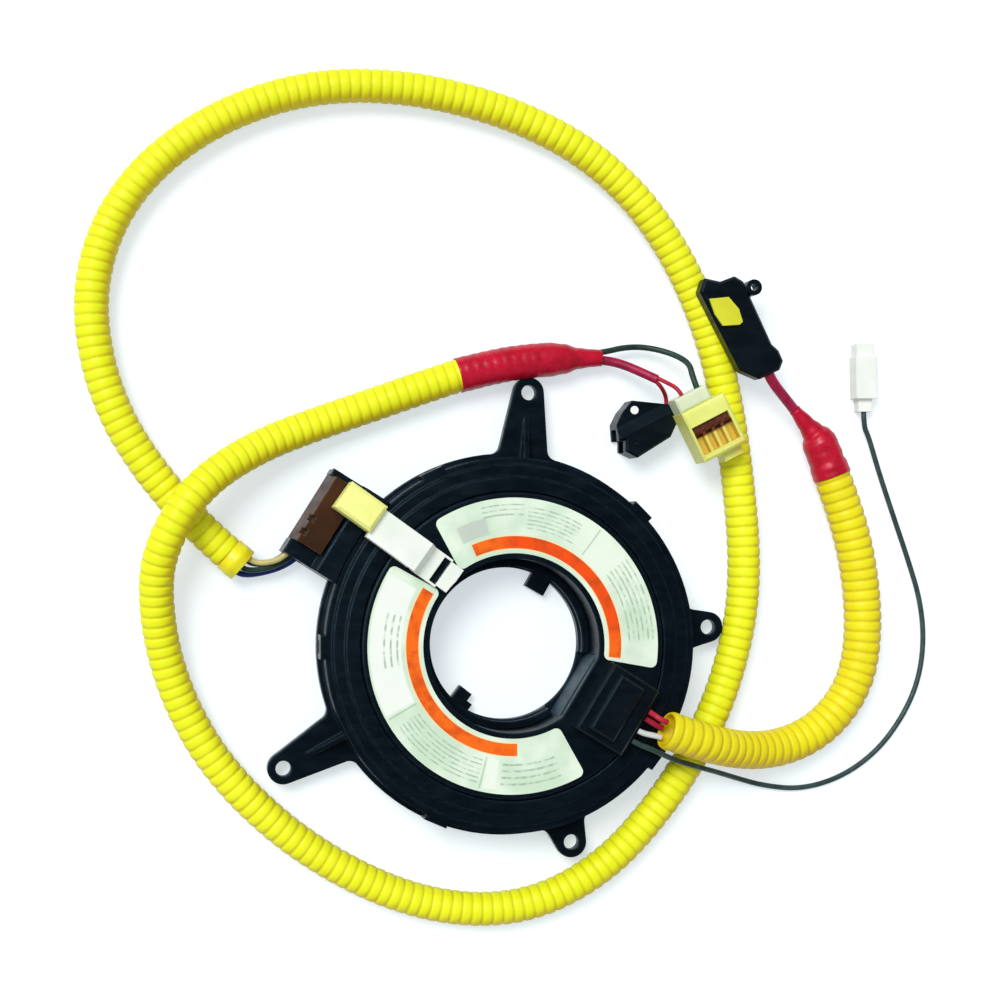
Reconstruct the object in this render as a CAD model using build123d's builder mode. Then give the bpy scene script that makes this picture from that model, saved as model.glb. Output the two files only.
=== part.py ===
from build123d import *
import os
from math import cos, radians, sin, sqrt, tan

# Steering clock spring: a wound flat cable in a round moulded housing, between a fixed stator on the
# steering column and a rotor that turns with the steering wheel. Millimetres, +Z up to the wheel,
# +X and +Y as the unit lies on a bench, origin on the shaft axis at the housing's back face.

# ---- stator: tray, ears and cover -----------------------------------------------------------------
TRAY_RADIUS = 55.0          # outside of the tray's round wall
TRAY_WALL = 2.2
TRAY_HEIGHT = 13.4          # top of the wall, where the cover sits
FLOOR_THICKNESS = 1.8
LEDGE_RADIUS = 36.0         # outside of the floor's stepped-up inner ledge
LEDGE_BOTTOM = 1.7
LEDGE_THICKNESS = 1.7
FLANGE_WIDTH = 1.5          # past the wall
FLANGE_RADIUS = TRAY_RADIUS + FLANGE_WIDTH
FLANGE_BOTTOM = 3.0
FLANGE_THICKNESS = 3.0
LONG_EAR_LENGTH = 20.0      # wall to the centre of an ear's hole
SHORT_EAR_LENGTH = 7.5
LONG_EAR_REACH = TRAY_RADIUS + LONG_EAR_LENGTH
SHORT_EAR_REACH = TRAY_RADIUS + SHORT_EAR_LENGTH
LONG_EAR_ANGLES = (84.8, 208.2)
SHORT_EAR_ANGLES = (4.0, 288.4)
EAR_TIP_RADIUS = 4.6
EAR_HOLE_RADIUS = 2.25
EAR_LAP = 5.0               # an ear's outline starts this far inside the wall
EAR_INNER_END = TRAY_RADIUS - EAR_LAP
LONG_EAR_ROOT = 17.0
SHORT_EAR_ROOT = 15.0
EAR_ROOT_FILLET = 3.0
GUSSET_THICKNESS = 1.6
GUSSET_HEIGHT = 5.0
GUSSET_SHORT_OF_HOLE = 7.5
COVER_TOP = 17.0            # flat top beside the rotor
COVER_WIDTH = 9.7           # wall to the cover's opening
COVER_BORE_RADIUS = TRAY_RADIUS - COVER_WIDTH
COVER_LIP_WIDTH = 3.7       # lip that passes under the rotor's disc
COVER_LIP_RADIUS = COVER_BORE_RADIUS - COVER_LIP_WIDTH
COVER_LIP_TOP = 15.5
COVER_LIP_BOTTOM = 14.2
COVER_STEP_WIDTHS = (5.8, 2.2)          # wall to each step of the cover
COVER_STEP_SLOPE = 0.3
COVER_STEP_TOPS = (16.0, 14.8)
COVER_SPIGOT_WALL = 1.4
COVER_SPIGOT_DEPTH = 2.4
SPIGOT_GAP = 0.1
SNAP_ANGLES = (45, 115, 180, 246, 322)
SNAP_WIDTH = 7.0
SNAP_BOTTOM = 8.0
SNAP_THICKNESS = 1.2
SNAP_GAP = 0.15
SNAP_WINDOW_WIDTH = 3.8
SNAP_WINDOW_HEIGHTS = (9.3, 11.9)
NUB_WIDTH = 3.2
NUB_HEIGHTS = (9.5, 11.5)

# ---- rotor: disc with hub, sleeve with drive lugs -------------------------------------------------
DISC_GAP = 0.5              # disc to the cover's opening
DISC_RADIUS = COVER_BORE_RADIUS - DISC_GAP
DISC_TOP = 17.6
DISC_THICKNESS = 1.6
DISC_EDGE_CHAMFER = 0.4
HUB_BORE_RADIUS = 25.4
HUB_WALL = 2.8
HUB_BOTTOM = 1.3
RUNNING_GAP = 0.6           # hub and sleeve flange to the tray
HUB_FLAT_REACH = 23.2       # axis to the flat in the hub, over the flat cable's terminal
SLEEVE_BORE_RADIUS = 23.1
SLEEVE_WALL = 2.15
SLEEVE_TOP = 6.0
SLEEVE_BOTTOM = 0.3
SLEEVE_FLANGE_RADIUS = 33.0
LUG_RING_RADIUS = 22.6      # narrower ring at the sleeve's foot, between the lugs
LUG_ANGLES = (60.0, 232.5)
LUG_TIP_RADIUS = 18.0
LUG_WIDTH = 6.3
LUG_HEIGHT = 3.0
LUG_NOTCH = (2.4, 1.9)      # step in one corner of the second lug

# ---- flat cable and its two terminals -------------------------------------------------------------
SHROUD_ANGLE = -32.0        # direction of the rotor's connector
SOCKET_ANGLE = 148.0        # direction of the stator's connector
TERMINAL_HALF_ANGLE = 24.5
TERMINAL_LAP_ANGLE = 27.0
TERMINAL_TOP = 13.0
TERMINAL_LAP_WIDTH = 3.0    # outside of the hub's wall
TERMINAL_OUTER_RADIUS = HUB_BORE_RADIUS + HUB_WALL + TERMINAL_LAP_WIDTH
TERMINAL_LAP_HEIGHTS = (4.2, 14.0)
TERMINAL_SLIP_ANGLE = 0.4
TERMINAL_SLIP = 0.15
RIBBON_THICKNESS = 0.4
RIBBON_HEIGHTS = (4.3, 13.8)
RIBBON_TO_TRAY = 5.9        # outermost turn to the outside of the wall
RIBBON_OUTER_RADIUS = TRAY_RADIUS - RIBBON_TO_TRAY
RIBBON_HALF_TURNS = 9
ROTOR_PIN_SIZE = 1.0
ROTOR_PIN_SPACING = 3.6
ROTOR_PIN_COUNT = 4
ROTOR_PIN_SETBACK = 1.4     # outside of the hub's wall to the middle of a pin
ROTOR_PIN_RADIUS = HUB_BORE_RADIUS + HUB_WALL + ROTOR_PIN_SETBACK
ROTOR_PIN_BOTTOM = 11.0
ROTOR_PIN_LENGTH = 8.4
ROTOR_PIN_REACH = ROTOR_PIN_RADIUS + ROTOR_PIN_LENGTH
PIN_SLOT = (2.4, 14.0)

# ---- face labels ----------------------------------------------------------------------------------
LABEL_MARGIN = 1.6          # to the disc's bore and to its rim
LABEL_INNER_RADIUS = HUB_BORE_RADIUS + LABEL_MARGIN
LABEL_OUTER_RADIUS = DISC_RADIUS - LABEL_MARGIN
LABEL_THICKNESS = 0.2
UPPER_LABEL_OUTER_ANGLES = (-9.5, 123.4)
UPPER_LABEL_INNER_ANGLES = (-9.0, 126.5)
LOWER_LABEL_OUTER_ANGLES = (146.5, 299.2)
LOWER_LABEL_INNER_ANGLES = (143.6, 299.0)
LABEL_CORNER = 1.8

# ---- rotor connector ------------------------------------------------------------------------------
SHROUD_SETBACK = 1.6        # from the disc's bore
SHROUD_LENGTH = 16.0
SHROUD_START = HUB_BORE_RADIUS + SHROUD_SETBACK
SHROUD_END = SHROUD_START + SHROUD_LENGTH
SHROUD_WIDTH = 22.0
SHROUD_TOP = 23.2
SHROUD_WALL = 1.2
SHROUD_EDGE = 0.6
LID_SETBACK = 3.0           # from the shroud's inner end
LID_LENGTH = 8.5
LID_START = SHROUD_START + LID_SETBACK
LID_WIDTH = 18.0
LID_HEIGHT = 1.9
LID_EDGE = 0.7
ROTOR_PLUG_SETBACK = 4.0    # from the plug's inner end to the tips of the pins in it
ROTOR_PLUG_PROUD = 0.8      # past the shroud's mouth
ROTOR_PLUG_START = ROTOR_PIN_REACH - ROTOR_PLUG_SETBACK
ROTOR_PLUG_END = SHROUD_END + ROTOR_PLUG_PROUD
ROTOR_PLUG_LENGTH = ROTOR_PLUG_END - ROTOR_PLUG_START
FIT_GAP = 0.25              # a plug in its socket, on each side
PIN_GAP = 0.2

# ---- column socket on the stator, and its plug ----------------------------------------------------
SOCKET_LAP = 5.0            # the socket starts this far inside the wall
SOCKET_INNER_END = TRAY_RADIUS - SOCKET_LAP
SOCKET_LENGTH = 7.0         # wall to the socket's face
SOCKET_OUTER = TRAY_RADIUS + SOCKET_LENGTH
SOCKET_DEPTH = 4.4
SOCKET_BACK = SOCKET_OUTER - SOCKET_DEPTH
SOCKET_SIDES = (-16.0, 12.0)
SOCKET_BOTTOM = 1.0
SOCKET_TOP = 16.0
SOCKET_FLOOR = 1.4
SOCKET_ROOF = 1.6
SOCKET_EDGE = 1.4
SOCKET_SHELF = 8.2          # the socket's floor goes this far past its face
ARM_LENGTH = 9.6            # arms beside the plug, past the socket's face
ARM_OUTER = SOCKET_OUTER + ARM_LENGTH
FAR_ARM_WIDTH = 1.6
NEAR_ARM_WIDTH = 4.4
ARM_TOP = 13.4
WIRE_SLOT_START = 2.6       # past the socket's face
WIRE_SLOT_LENGTH = 5.6
WIRE_SLOT_TOP = 9.4
PLUG_LENGTH = 8.0           # plug past the socket's face, at its top
PLUG_OUTER = SOCKET_OUTER + PLUG_LENGTH
PLUG_FLARE = 1.5            # its outer face slopes out this far towards its foot
PLUG_TOP = 16.0
PLUG_SIDE_GAP = 0.2
PLUG_NOTCH = (2.0, 4.0, 1.2)
PLUG_NOTCH_PLACES = (-0.2, 4.2)
PLUG_PIN_SIZE = 1.2
PLUG_PIN_PITCH = 3.4
PLUG_PIN_COLUMNS = 4
PLUG_PIN_ROW_HEIGHTS = (5.6, 9.2)
PLUG_PIN_ROOT = 5.1         # behind the bottom of the cavity
PLUG_PIN_PROUD = 0.4        # past the socket's face
PLUG_PIN_SPAN = (SOCKET_BACK - PLUG_PIN_ROOT, SOCKET_OUTER + PLUG_PIN_PROUD)
BUSBAR_MIDDLE = -3.0        # middle of the terminal block, along the socket
BUSBAR_MIDDLE_HEIGHT = 7.4
BUSBAR_WINDOW = (14.4, 6.6)
BUSBAR_PLATE_DEPTH = 5.7    # wall to the plate's inner face
BUSBAR_PLATE_THICKNESS = 1.7
BUSBAR_START = TRAY_RADIUS - BUSBAR_PLATE_DEPTH
BUSBAR_PLATE_SPAN = (BUSBAR_START, BUSBAR_START + BUSBAR_PLATE_THICKNESS)
BUSBAR_PLATE = (18.0, 7.0)

# ---- clip that locks the rotor in its middle position until it is fitted --------------------------
LOCK_ANGLE = 144.5
LOCK_OFFSET = -4.9          # the clip's middle line, beside the radial line
FOOT_GAP = 0.3              # over the disc
FOOT_THICKNESS = 1.8
FOOT_INNER_END = HUB_BORE_RADIUS
FOOT_LENGTH = 12.0
FOOT_OUTER_END = FOOT_INNER_END + FOOT_LENGTH
FOOT_TAB_WIDTH = 8.2        # narrower tongue at the foot's inner end
FOOT_TAB_LENGTH = 4.1
FOOT_TAB_END = FOOT_INNER_END + FOOT_TAB_LENGTH
BAR_TO_WALL = 0.4           # the bar ends this far inside the outside of the wall
BAR_OUTER = TRAY_RADIUS - BAR_TO_WALL
BAR_WIDTH = 9.5
BAR_TOP = 23.7
BAR_WALL = 1.7
BAR_FLANGE_BOTTOM = 19.4
BAR_RAMP = 2.0
TONGUE_LENGTH = 6.8
TONGUE_OUTER = BAR_OUTER + TONGUE_LENGTH
TONGUE_WIDTH = 6.0
LOCK_SLOT_SETBACK = 5.5     # from the foot's inner end
LOCK_SLOT_RADIUS = FOOT_INNER_END + LOCK_SLOT_SETBACK
LOCK_SLOT = (2.4, 8.2)
PEG_SETBACK = 9.2           # from the disc's bore
PEG_ANGLES = (131.5, 140.0)
PEG_RADIUS = 1.0
PEG_HOLE_RADIUS = 1.35
PEG_BOTTOM = 14.8
BLOCK_LENGTH = 12.4
BLOCK_WIDTH = 8.8
BLOCK_SIDE = -1.2           # its middle line, beside the clip's
BLOCK_HEIGHTS = (17.2, 26.2)
BLOCK_EDGE = 0.9
POST_RADIUS = 1.6
POST_TOP = 19.8
POST_TO_WALL = 2.6
POST_REACH = TRAY_RADIUS + POST_TO_WALL
POST_POCKET_RADIUS = 2.2
POST_POCKET_TOP = 21.0

# ---- free cords: routes of control points, one list each ------------------------------------------
CORNER_SHARE = 0.45         # a corner's arc takes this share of the shorter run beside it
CONDUIT_A_DIAMETER = 10.0
CONDUIT_A = (
    (-82.0, 27.0, 5.3), (-89.0, 33.0, 5.1), (-97.2, 42.2, 5.0), (-105.4, 52.2, 5.0), (-113.5, 65.2, 5.0),
    (-119.4, 81.0, 5.0), (-121.8, 100.0, 5.0), (-117.6, 119.6, 5.0), (-107.0, 136.3, 5.0),
    (-91.5, 149.6, 5.0), (-73.0, 159.0, 5.0), (-52.8, 164.2, 5.0), (-32.0, 164.7, 5.0),
    (-13.3, 162.0, 5.0), (4.8, 157.0, 5.0), (24.0, 148.0, 5.0), (40.0, 134.8, 5.0), (51.8, 119.0, 5.0),
    (60.2, 102.4, 5.0), (66.3, 84.2, 5.0), (70.3, 64.0, 5.0), (73.0, 43.0, 5.0), (74.4, 24.5, 5.0),
    (73.2, 6.0, 5.0), (67.2, -15.6, 5.0), (58.6, -33.2, 5.0), (47.6, -49.2, 5.0), (32.2, -65.6, 5.0),
    (13.8, -76.0, 5.0), (-5.2, -79.2, 5.0), (-26.4, -75.8, 5.0), (-47.4, -66.6, 5.0),
    (-67.8, -52.6, 5.0), (-85.2, -34.6, 5.0), (-95.8, -16.0, 5.2), (-101.4, 1.6, 7.2),
    (-103.3, 19.9, 12.2), (-100.4, 31.2, 16.0), (-94.7, 41.4, 16.6), (-86.6, 49.9, 14.0),
    (-73.0, 58.2, 9.0), (-58.0, 64.2, 5.9), (-42.0, 69.8, 5.2), (-25.4, 75.8, 5.3), (-12.4, 80.2, 5.4),
)
CONDUIT_B_DIAMETER = 11.5
CONDUIT_B = (
    (44.3, -24.8, 22.5), (52.5, -27.6, 21.6), (61.0, -30.2, 18.4), (70.0, -32.2, 13.6),
    (79.6, -32.9, 9.4), (88.9, -31.4, 6.9), (97.4, -27.5, 5.9), (104.2, -21.3, 5.8),
    (109.1, -13.5, 5.8), (111.7, -4.4, 5.8), (112.3, 7.5, 5.8), (111.2, 20.0, 5.8),
    (108.6, 32.6, 5.8), (104.8, 44.0, 5.8), (101.6, 52.2, 5.8),
)
HORN_WIRE_DIAMETER = 1.6
HORN_WIRE = (
    (41.0, -30.8, 19.6), (47.6, -34.0, 17.8), (55.2, -36.5, 14.6), (63.6, -39.0, 9.8),
    (72.0, -41.8, 4.6), (81.2, -44.6, 1.5), (93.6, -46.2, 0.9), (107.0, -42.8, 0.85),
    (118.8, -35.0, 0.9), (127.4, -24.3, 0.85), (132.6, -13.2, 0.9), (134.5, -0.7, 0.85),
    (133.2, 12.0, 0.9), (129.2, 24.6, 0.85), (124.2, 38.6, 0.9), (119.4, 52.4, 0.9),
    (115.9, 63.0, 1.7),
)
SLEEVE_A_DIAMETER = 10.8    # heat-shrink sleeve beyond the end of the long conduit
SLEEVE_A_STRAIGHT = 11.8    # it goes straight on from the conduit this far
SLEEVE_A = ((11.0, 86.3, 5.4), (24.4, 87.2, 5.4))
SLEEVE_A_NOSE = (30.2, 87.4, 5.2)
SLEEVE_B_DIAMETER = 11.2
SLEEVE_B_LENGTH = 10.0
SLEEVE_B_NOSE = (94.0, 65.6, 6.4)
NOSE_DIAMETER = 5.6
LEAD_A_DIAMETER = 2.8
LEAD_A_SIDE = 1.2           # beside the middle of the sleeve's nose
LEAD_A = ((37.0, 85.6, 6.2), (41.6, 83.2, 7.8), (45.8, 79.9, 9.8))
LEAD_B_DIAMETER = 3.2
LEAD_B = ((88.3, 71.4, 8.6), (84.6, 74.7, 10.8))
GREEN_WIRE_DIAMETER = 1.8
GREEN_WIRE_SIDE = 1.6
GREEN_WIRE = (
    (37.4, 90.4, 4.4), (42.6, 91.0, 4.0), (47.8, 90.2, 5.2), (52.4, 88.2, 8.0), (55.6, 85.0, 11.6),
)
THIN_WIRE_DIAMETER = 1.3
COLLAR_DIAMETER = 10.4      # tape round the long conduit's first end
COLLAR_LENGTH = 5.5

# ---- connectors that lie on the bench -------------------------------------------------------------
SQUIB_PLACE = (70.0, 95.5)
SQUIB_ANGLE = 115.0         # from its lead to its head
SQUIB_HEIGHTS = (10.4, 15.4)
SQUIB_OUTLINE = (
    (17.2, 4.6), (14.0, 7.6), (-12.4, 6.2), (-17.4, 1.6), (-17.4, -5.4), (-15.4, -7.6), (-12.0, -7.6),
    (-9.4, -6.4), (11.4, -6.2), (13.9, -4.4), (14.2, 0.4),
)
SQUIB_CORNER = 0.8
SQUIB_EDGE = 0.7
SQUIB_NOSE_PLACE = (7.0, -3.3)
SQUIB_NOSE_RADIUS = 4.4
SQUIB_SOCKET_RADIUS = 2.9
SQUIB_SOCKET_DEPTH = 6.0
SQUIB_RING_PLACE = (8.4, -8.5)
SQUIB_RING_RADII = (1.1, 2.4)
SQUIB_LEAD_PLACE = (-17.4, -2.4, 12.9)
SQUIB_LOCK_OUTLINE = ((10.9, 6.1), (9.0, 0.4), (4.5, -1.0), (0.5, -0.5), (0.1, 0.8), (1.9, 5.7), (6.0, 6.5))
SQUIB_LOCK_TOP = 16.2
SQUIB_LOCK_BOTTOM = 11.6
SQUIB_LOCK_WALL = 0.9       # step of the collar round the lock's stem
LOCK_STEM_GAP = 0.15

MULTI_PLACE = (60.2, 64.1)
MULTI_ANGLE = 27.0
MULTI_SIZE = (14.6, 16.0)
MULTI_HEIGHTS = (10.2, 20.2)
MULTI_EDGE = 0.7
MULTI_RECESS = (12.4, 8.8, 3.4)
MULTI_RECESS_MIDDLE = -1.5
MULTI_RECESS_SIDE = -0.4
MULTI_REAR = (10.8, 4.6)
MULTI_REAR_SIDE = -1.6
MULTI_REAR_HEIGHTS = (11.2, 19.0)
MULTI_LATCH = (6.4, 3.0)
MULTI_LATCH_SIDE = 2.8
MULTI_WIRE_SIDE = -3.4
MULTI_GROUND_SIDE = 1.9
CONTACT_BAR_WIDTH = 2.6
CONTACT_BAR_DROP = 0.5
CONTACT_STUDS = 5
CELL_COUNT = 4
CELL_WALL = 1.0
CELL_DROP = 0.7

TWO_WAY_PLACE = (41.5, 64.5)
TWO_WAY_ANGLE = 27.0
TWO_WAY_OUTLINE = (
    (38.0, 72.6), (51.8, 71.4), (51.6, 65.9), (49.6, 61.7), (39.4, 55.4), (35.6, 57.2), (35.6, 60.4),
    (33.6, 60.4), (33.2, 65.4), (35.0, 69.0),
)
TWO_WAY_HEIGHT = 10.2
TWO_WAY_LEDGE = 8.3         # height of the stepped-down side of its top
TWO_WAY_RAMP = (0.4, 3.4)
TWO_WAY_EDGE = 0.6
TWO_WAY_MOUTH = (6.0, 7.4, 5.4)
TWO_WAY_SEAL_PLACE = (38.7, 69.7)
TWO_WAY_SEAL_RADIUS = 1.25
TWO_WAY_PIP_PLACE = (39.2, 59.5)
TWO_WAY_PIP_RADIUS = 0.5
TWO_WAY_WIRE_ALONG = 0.84   # along the edge of its outline that the wire enters
TWO_WAY_WIRE_HEIGHT = 5.0

HORN_PLUG_PLACE = (114.0, 70.4)
HORN_PLUG_ANGLE = 91.0
HORN_PLUG_LENGTHS = (4.0, 13.0, 4.0)
HORN_PLUG_WIDTHS = (4.4, 6.8, 5.6)
HORN_PLUG_HEIGHTS = (4.0, 5.6, 4.8)
HORN_PLUG_SLOT = (1.0, 3.2, 3.0)

# ---- wires between a plug and its conduit ---------------------------------------------------------
BUNDLE_WIRE_DIAMETER = 1.7
BUNDLE_STRAIGHT = 2.6       # a wire runs this far straight out of a conduit's end
# name: distance past the socket's face and height, side and up in the conduit's end
PLUG_WIRES = {
    "cream": (7.2, 8.2, 2.6, 2.0),
    "black": (7.2, 4.4, 2.0, -1.8),
    "green": (5.4, 5.6, -0.6, 1.2),
    "blue": (3.9, 4.2, -2.4, -1.4),
}
# name: side and up from the plug's middle, side and up in the conduit's end
ROTOR_WIRES = {
    "red": (4.4, 0.5, -2.2, -0.6),
    "crimson": (2.2, -0.7, -0.2, -2.8),
    "white": (-2.0, 0.2, 2.6, -1.8),
}
HORN_WIRE_SIDE = -5.4
LEAD_IN = 2.4               # a wire runs this far straight out of a plug or sleeve
ROTOR_WIRE_HEIGHT = (DISC_TOP + SHROUD_TOP) / 2


def facing(angle, height=0.0, side=0.0, place=(0.0, 0.0)):
    """Level plane whose X axis points away at the angle, moved sideways along its own Y axis."""
    c, s = cos(radians(angle)), sin(radians(angle))
    return Plane(origin=(place[0] - side * s, place[1] + side * c, height), x_dir=(c, s, 0), z_dir=(0, 0, 1))


def upright(angle, side=0.0, place=(0.0, 0.0)):
    """Vertical plane: X away at the angle, Y up."""
    c, s = cos(radians(angle)), sin(radians(angle))
    return Plane(origin=(place[0] - side * s, place[1] + side * c, 0), x_dir=(c, s, 0), z_dir=(s, -c, 0))


def crosswise(angle, distance, place=(0.0, 0.0)):
    """Vertical plane across the direction at the angle: X to the left of it, Y up."""
    c, s = cos(radians(angle)), sin(radians(angle))
    origin = (place[0] + distance * c, place[1] + distance * s, 0)
    return Plane(origin=origin, x_dir=(-s, c, 0), z_dir=(c, s, 0))


def spot(angle, x, y, z, place=(0.0, 0.0)):
    """The point (x, y, z) of the turned frame."""
    c, s = cos(radians(angle)), sin(radians(angle))
    return (place[0] + x * c - y * s, place[1] + x * s + y * c, z)


def beside(start, end, side, up, ahead=0.0):
    """The end of a run, moved to the left of its way, up from it and on along it."""
    along = (Vector(*end) - Vector(*start)).normalized()
    left = Vector(0, 0, 1).cross(along).normalized()
    return tuple(Vector(*end) + left * side + along.cross(left) * up + along * ahead)


def sector(inner, outer, inner_arc, outer_arc, corner=0.0):
    """Part of a ring between two angles, given for its inner and its outer edge."""
    with BuildLine() as outline:
        inside = CenterArc((0, 0), inner, inner_arc[0], inner_arc[1] - inner_arc[0])
        outside = CenterArc((0, 0), outer, outer_arc[0], outer_arc[1] - outer_arc[0])
        Line(inside @ 0, outside @ 0)
        Line(inside @ 1, outside @ 1)
    with BuildSketch() as shape:
        make_face(outline.edges())
        if corner:
            fillet(shape.vertices(), corner)
    return shape.sketch


def ear_outline(reach, root):
    """A tapered ear along +X with a round tip."""
    toward = Vector(reach - EAR_INNER_END, -root / 2)
    touch = sqrt(toward.length ** 2 - EAR_TIP_RADIUS ** 2)
    lift = EAR_TIP_RADIUS / toward.length
    along = toward.normalized() * (touch / toward.length)
    across = Vector(-toward.Y, toward.X).normalized() * lift
    corner = Vector(EAR_INNER_END, root / 2)
    tip = corner + (along + across) * touch
    with BuildSketch() as shape:
        with BuildLine():
            Polyline((corner.X, corner.Y), (tip.X, tip.Y), (tip.X, -tip.Y), (corner.X, -corner.Y), close=True)
        make_face()
        with Locations((reach, 0)):
            Circle(EAR_TIP_RADIUS)
    return shape.sketch


def corner_radii(route):
    """Largest tangent arc that fits each corner of a route."""
    points = [Vector(*point) for point in route]
    radii = []
    for before, corner, after in zip(points, points[1:], points[2:]):
        shorter = min((corner - before).length, (after - corner).length)
        half_turn = radians((corner - before).get_angle(after - corner)) / 2
        radii.append(CORNER_SHARE * shorter / tan(half_turn))
    return radii


def cord(name, route, diameter):
    """Sweep a round cord along a route of straight runs and tangent arcs."""
    radii = corner_radii(route)
    with BuildLine() as path:
        FilletPolyline(*route, radius=radii)
    with BuildSketch(path.line ^ 0) as section:
        Circle(diameter / 2)
    sweep(section.sketch, path=path.line)
    length = sum(edge.length for edge in path.edges())
    print(name, "length", round(length, 1), "least radius", round(min(radii), 1), [round(r) for r in radii])
    return length * section.sketch.area


def finish(builder, label):
    """Name a finished piece and write it out."""
    builder.part.label = label
    export_step(builder.part, "parts/" + label + ".step")


os.makedirs("parts", exist_ok=True)

# ---- housing tray ---------------------------------------------------------------------------------
ear_places = [(LONG_EAR_REACH, angle) for angle in LONG_EAR_ANGLES]
ear_places += [(SHORT_EAR_REACH, angle) for angle in SHORT_EAR_ANGLES]
socket_cavity_sides = (SOCKET_SIDES[0] + FAR_ARM_WIDTH, SOCKET_SIDES[1] - NEAR_ARM_WIDTH)
socket_cavity_middle = sum(socket_cavity_sides) / 2
socket_cavity_width = socket_cavity_sides[1] - socket_cavity_sides[0]
socket_seat = SOCKET_BOTTOM + SOCKET_FLOOR

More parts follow.
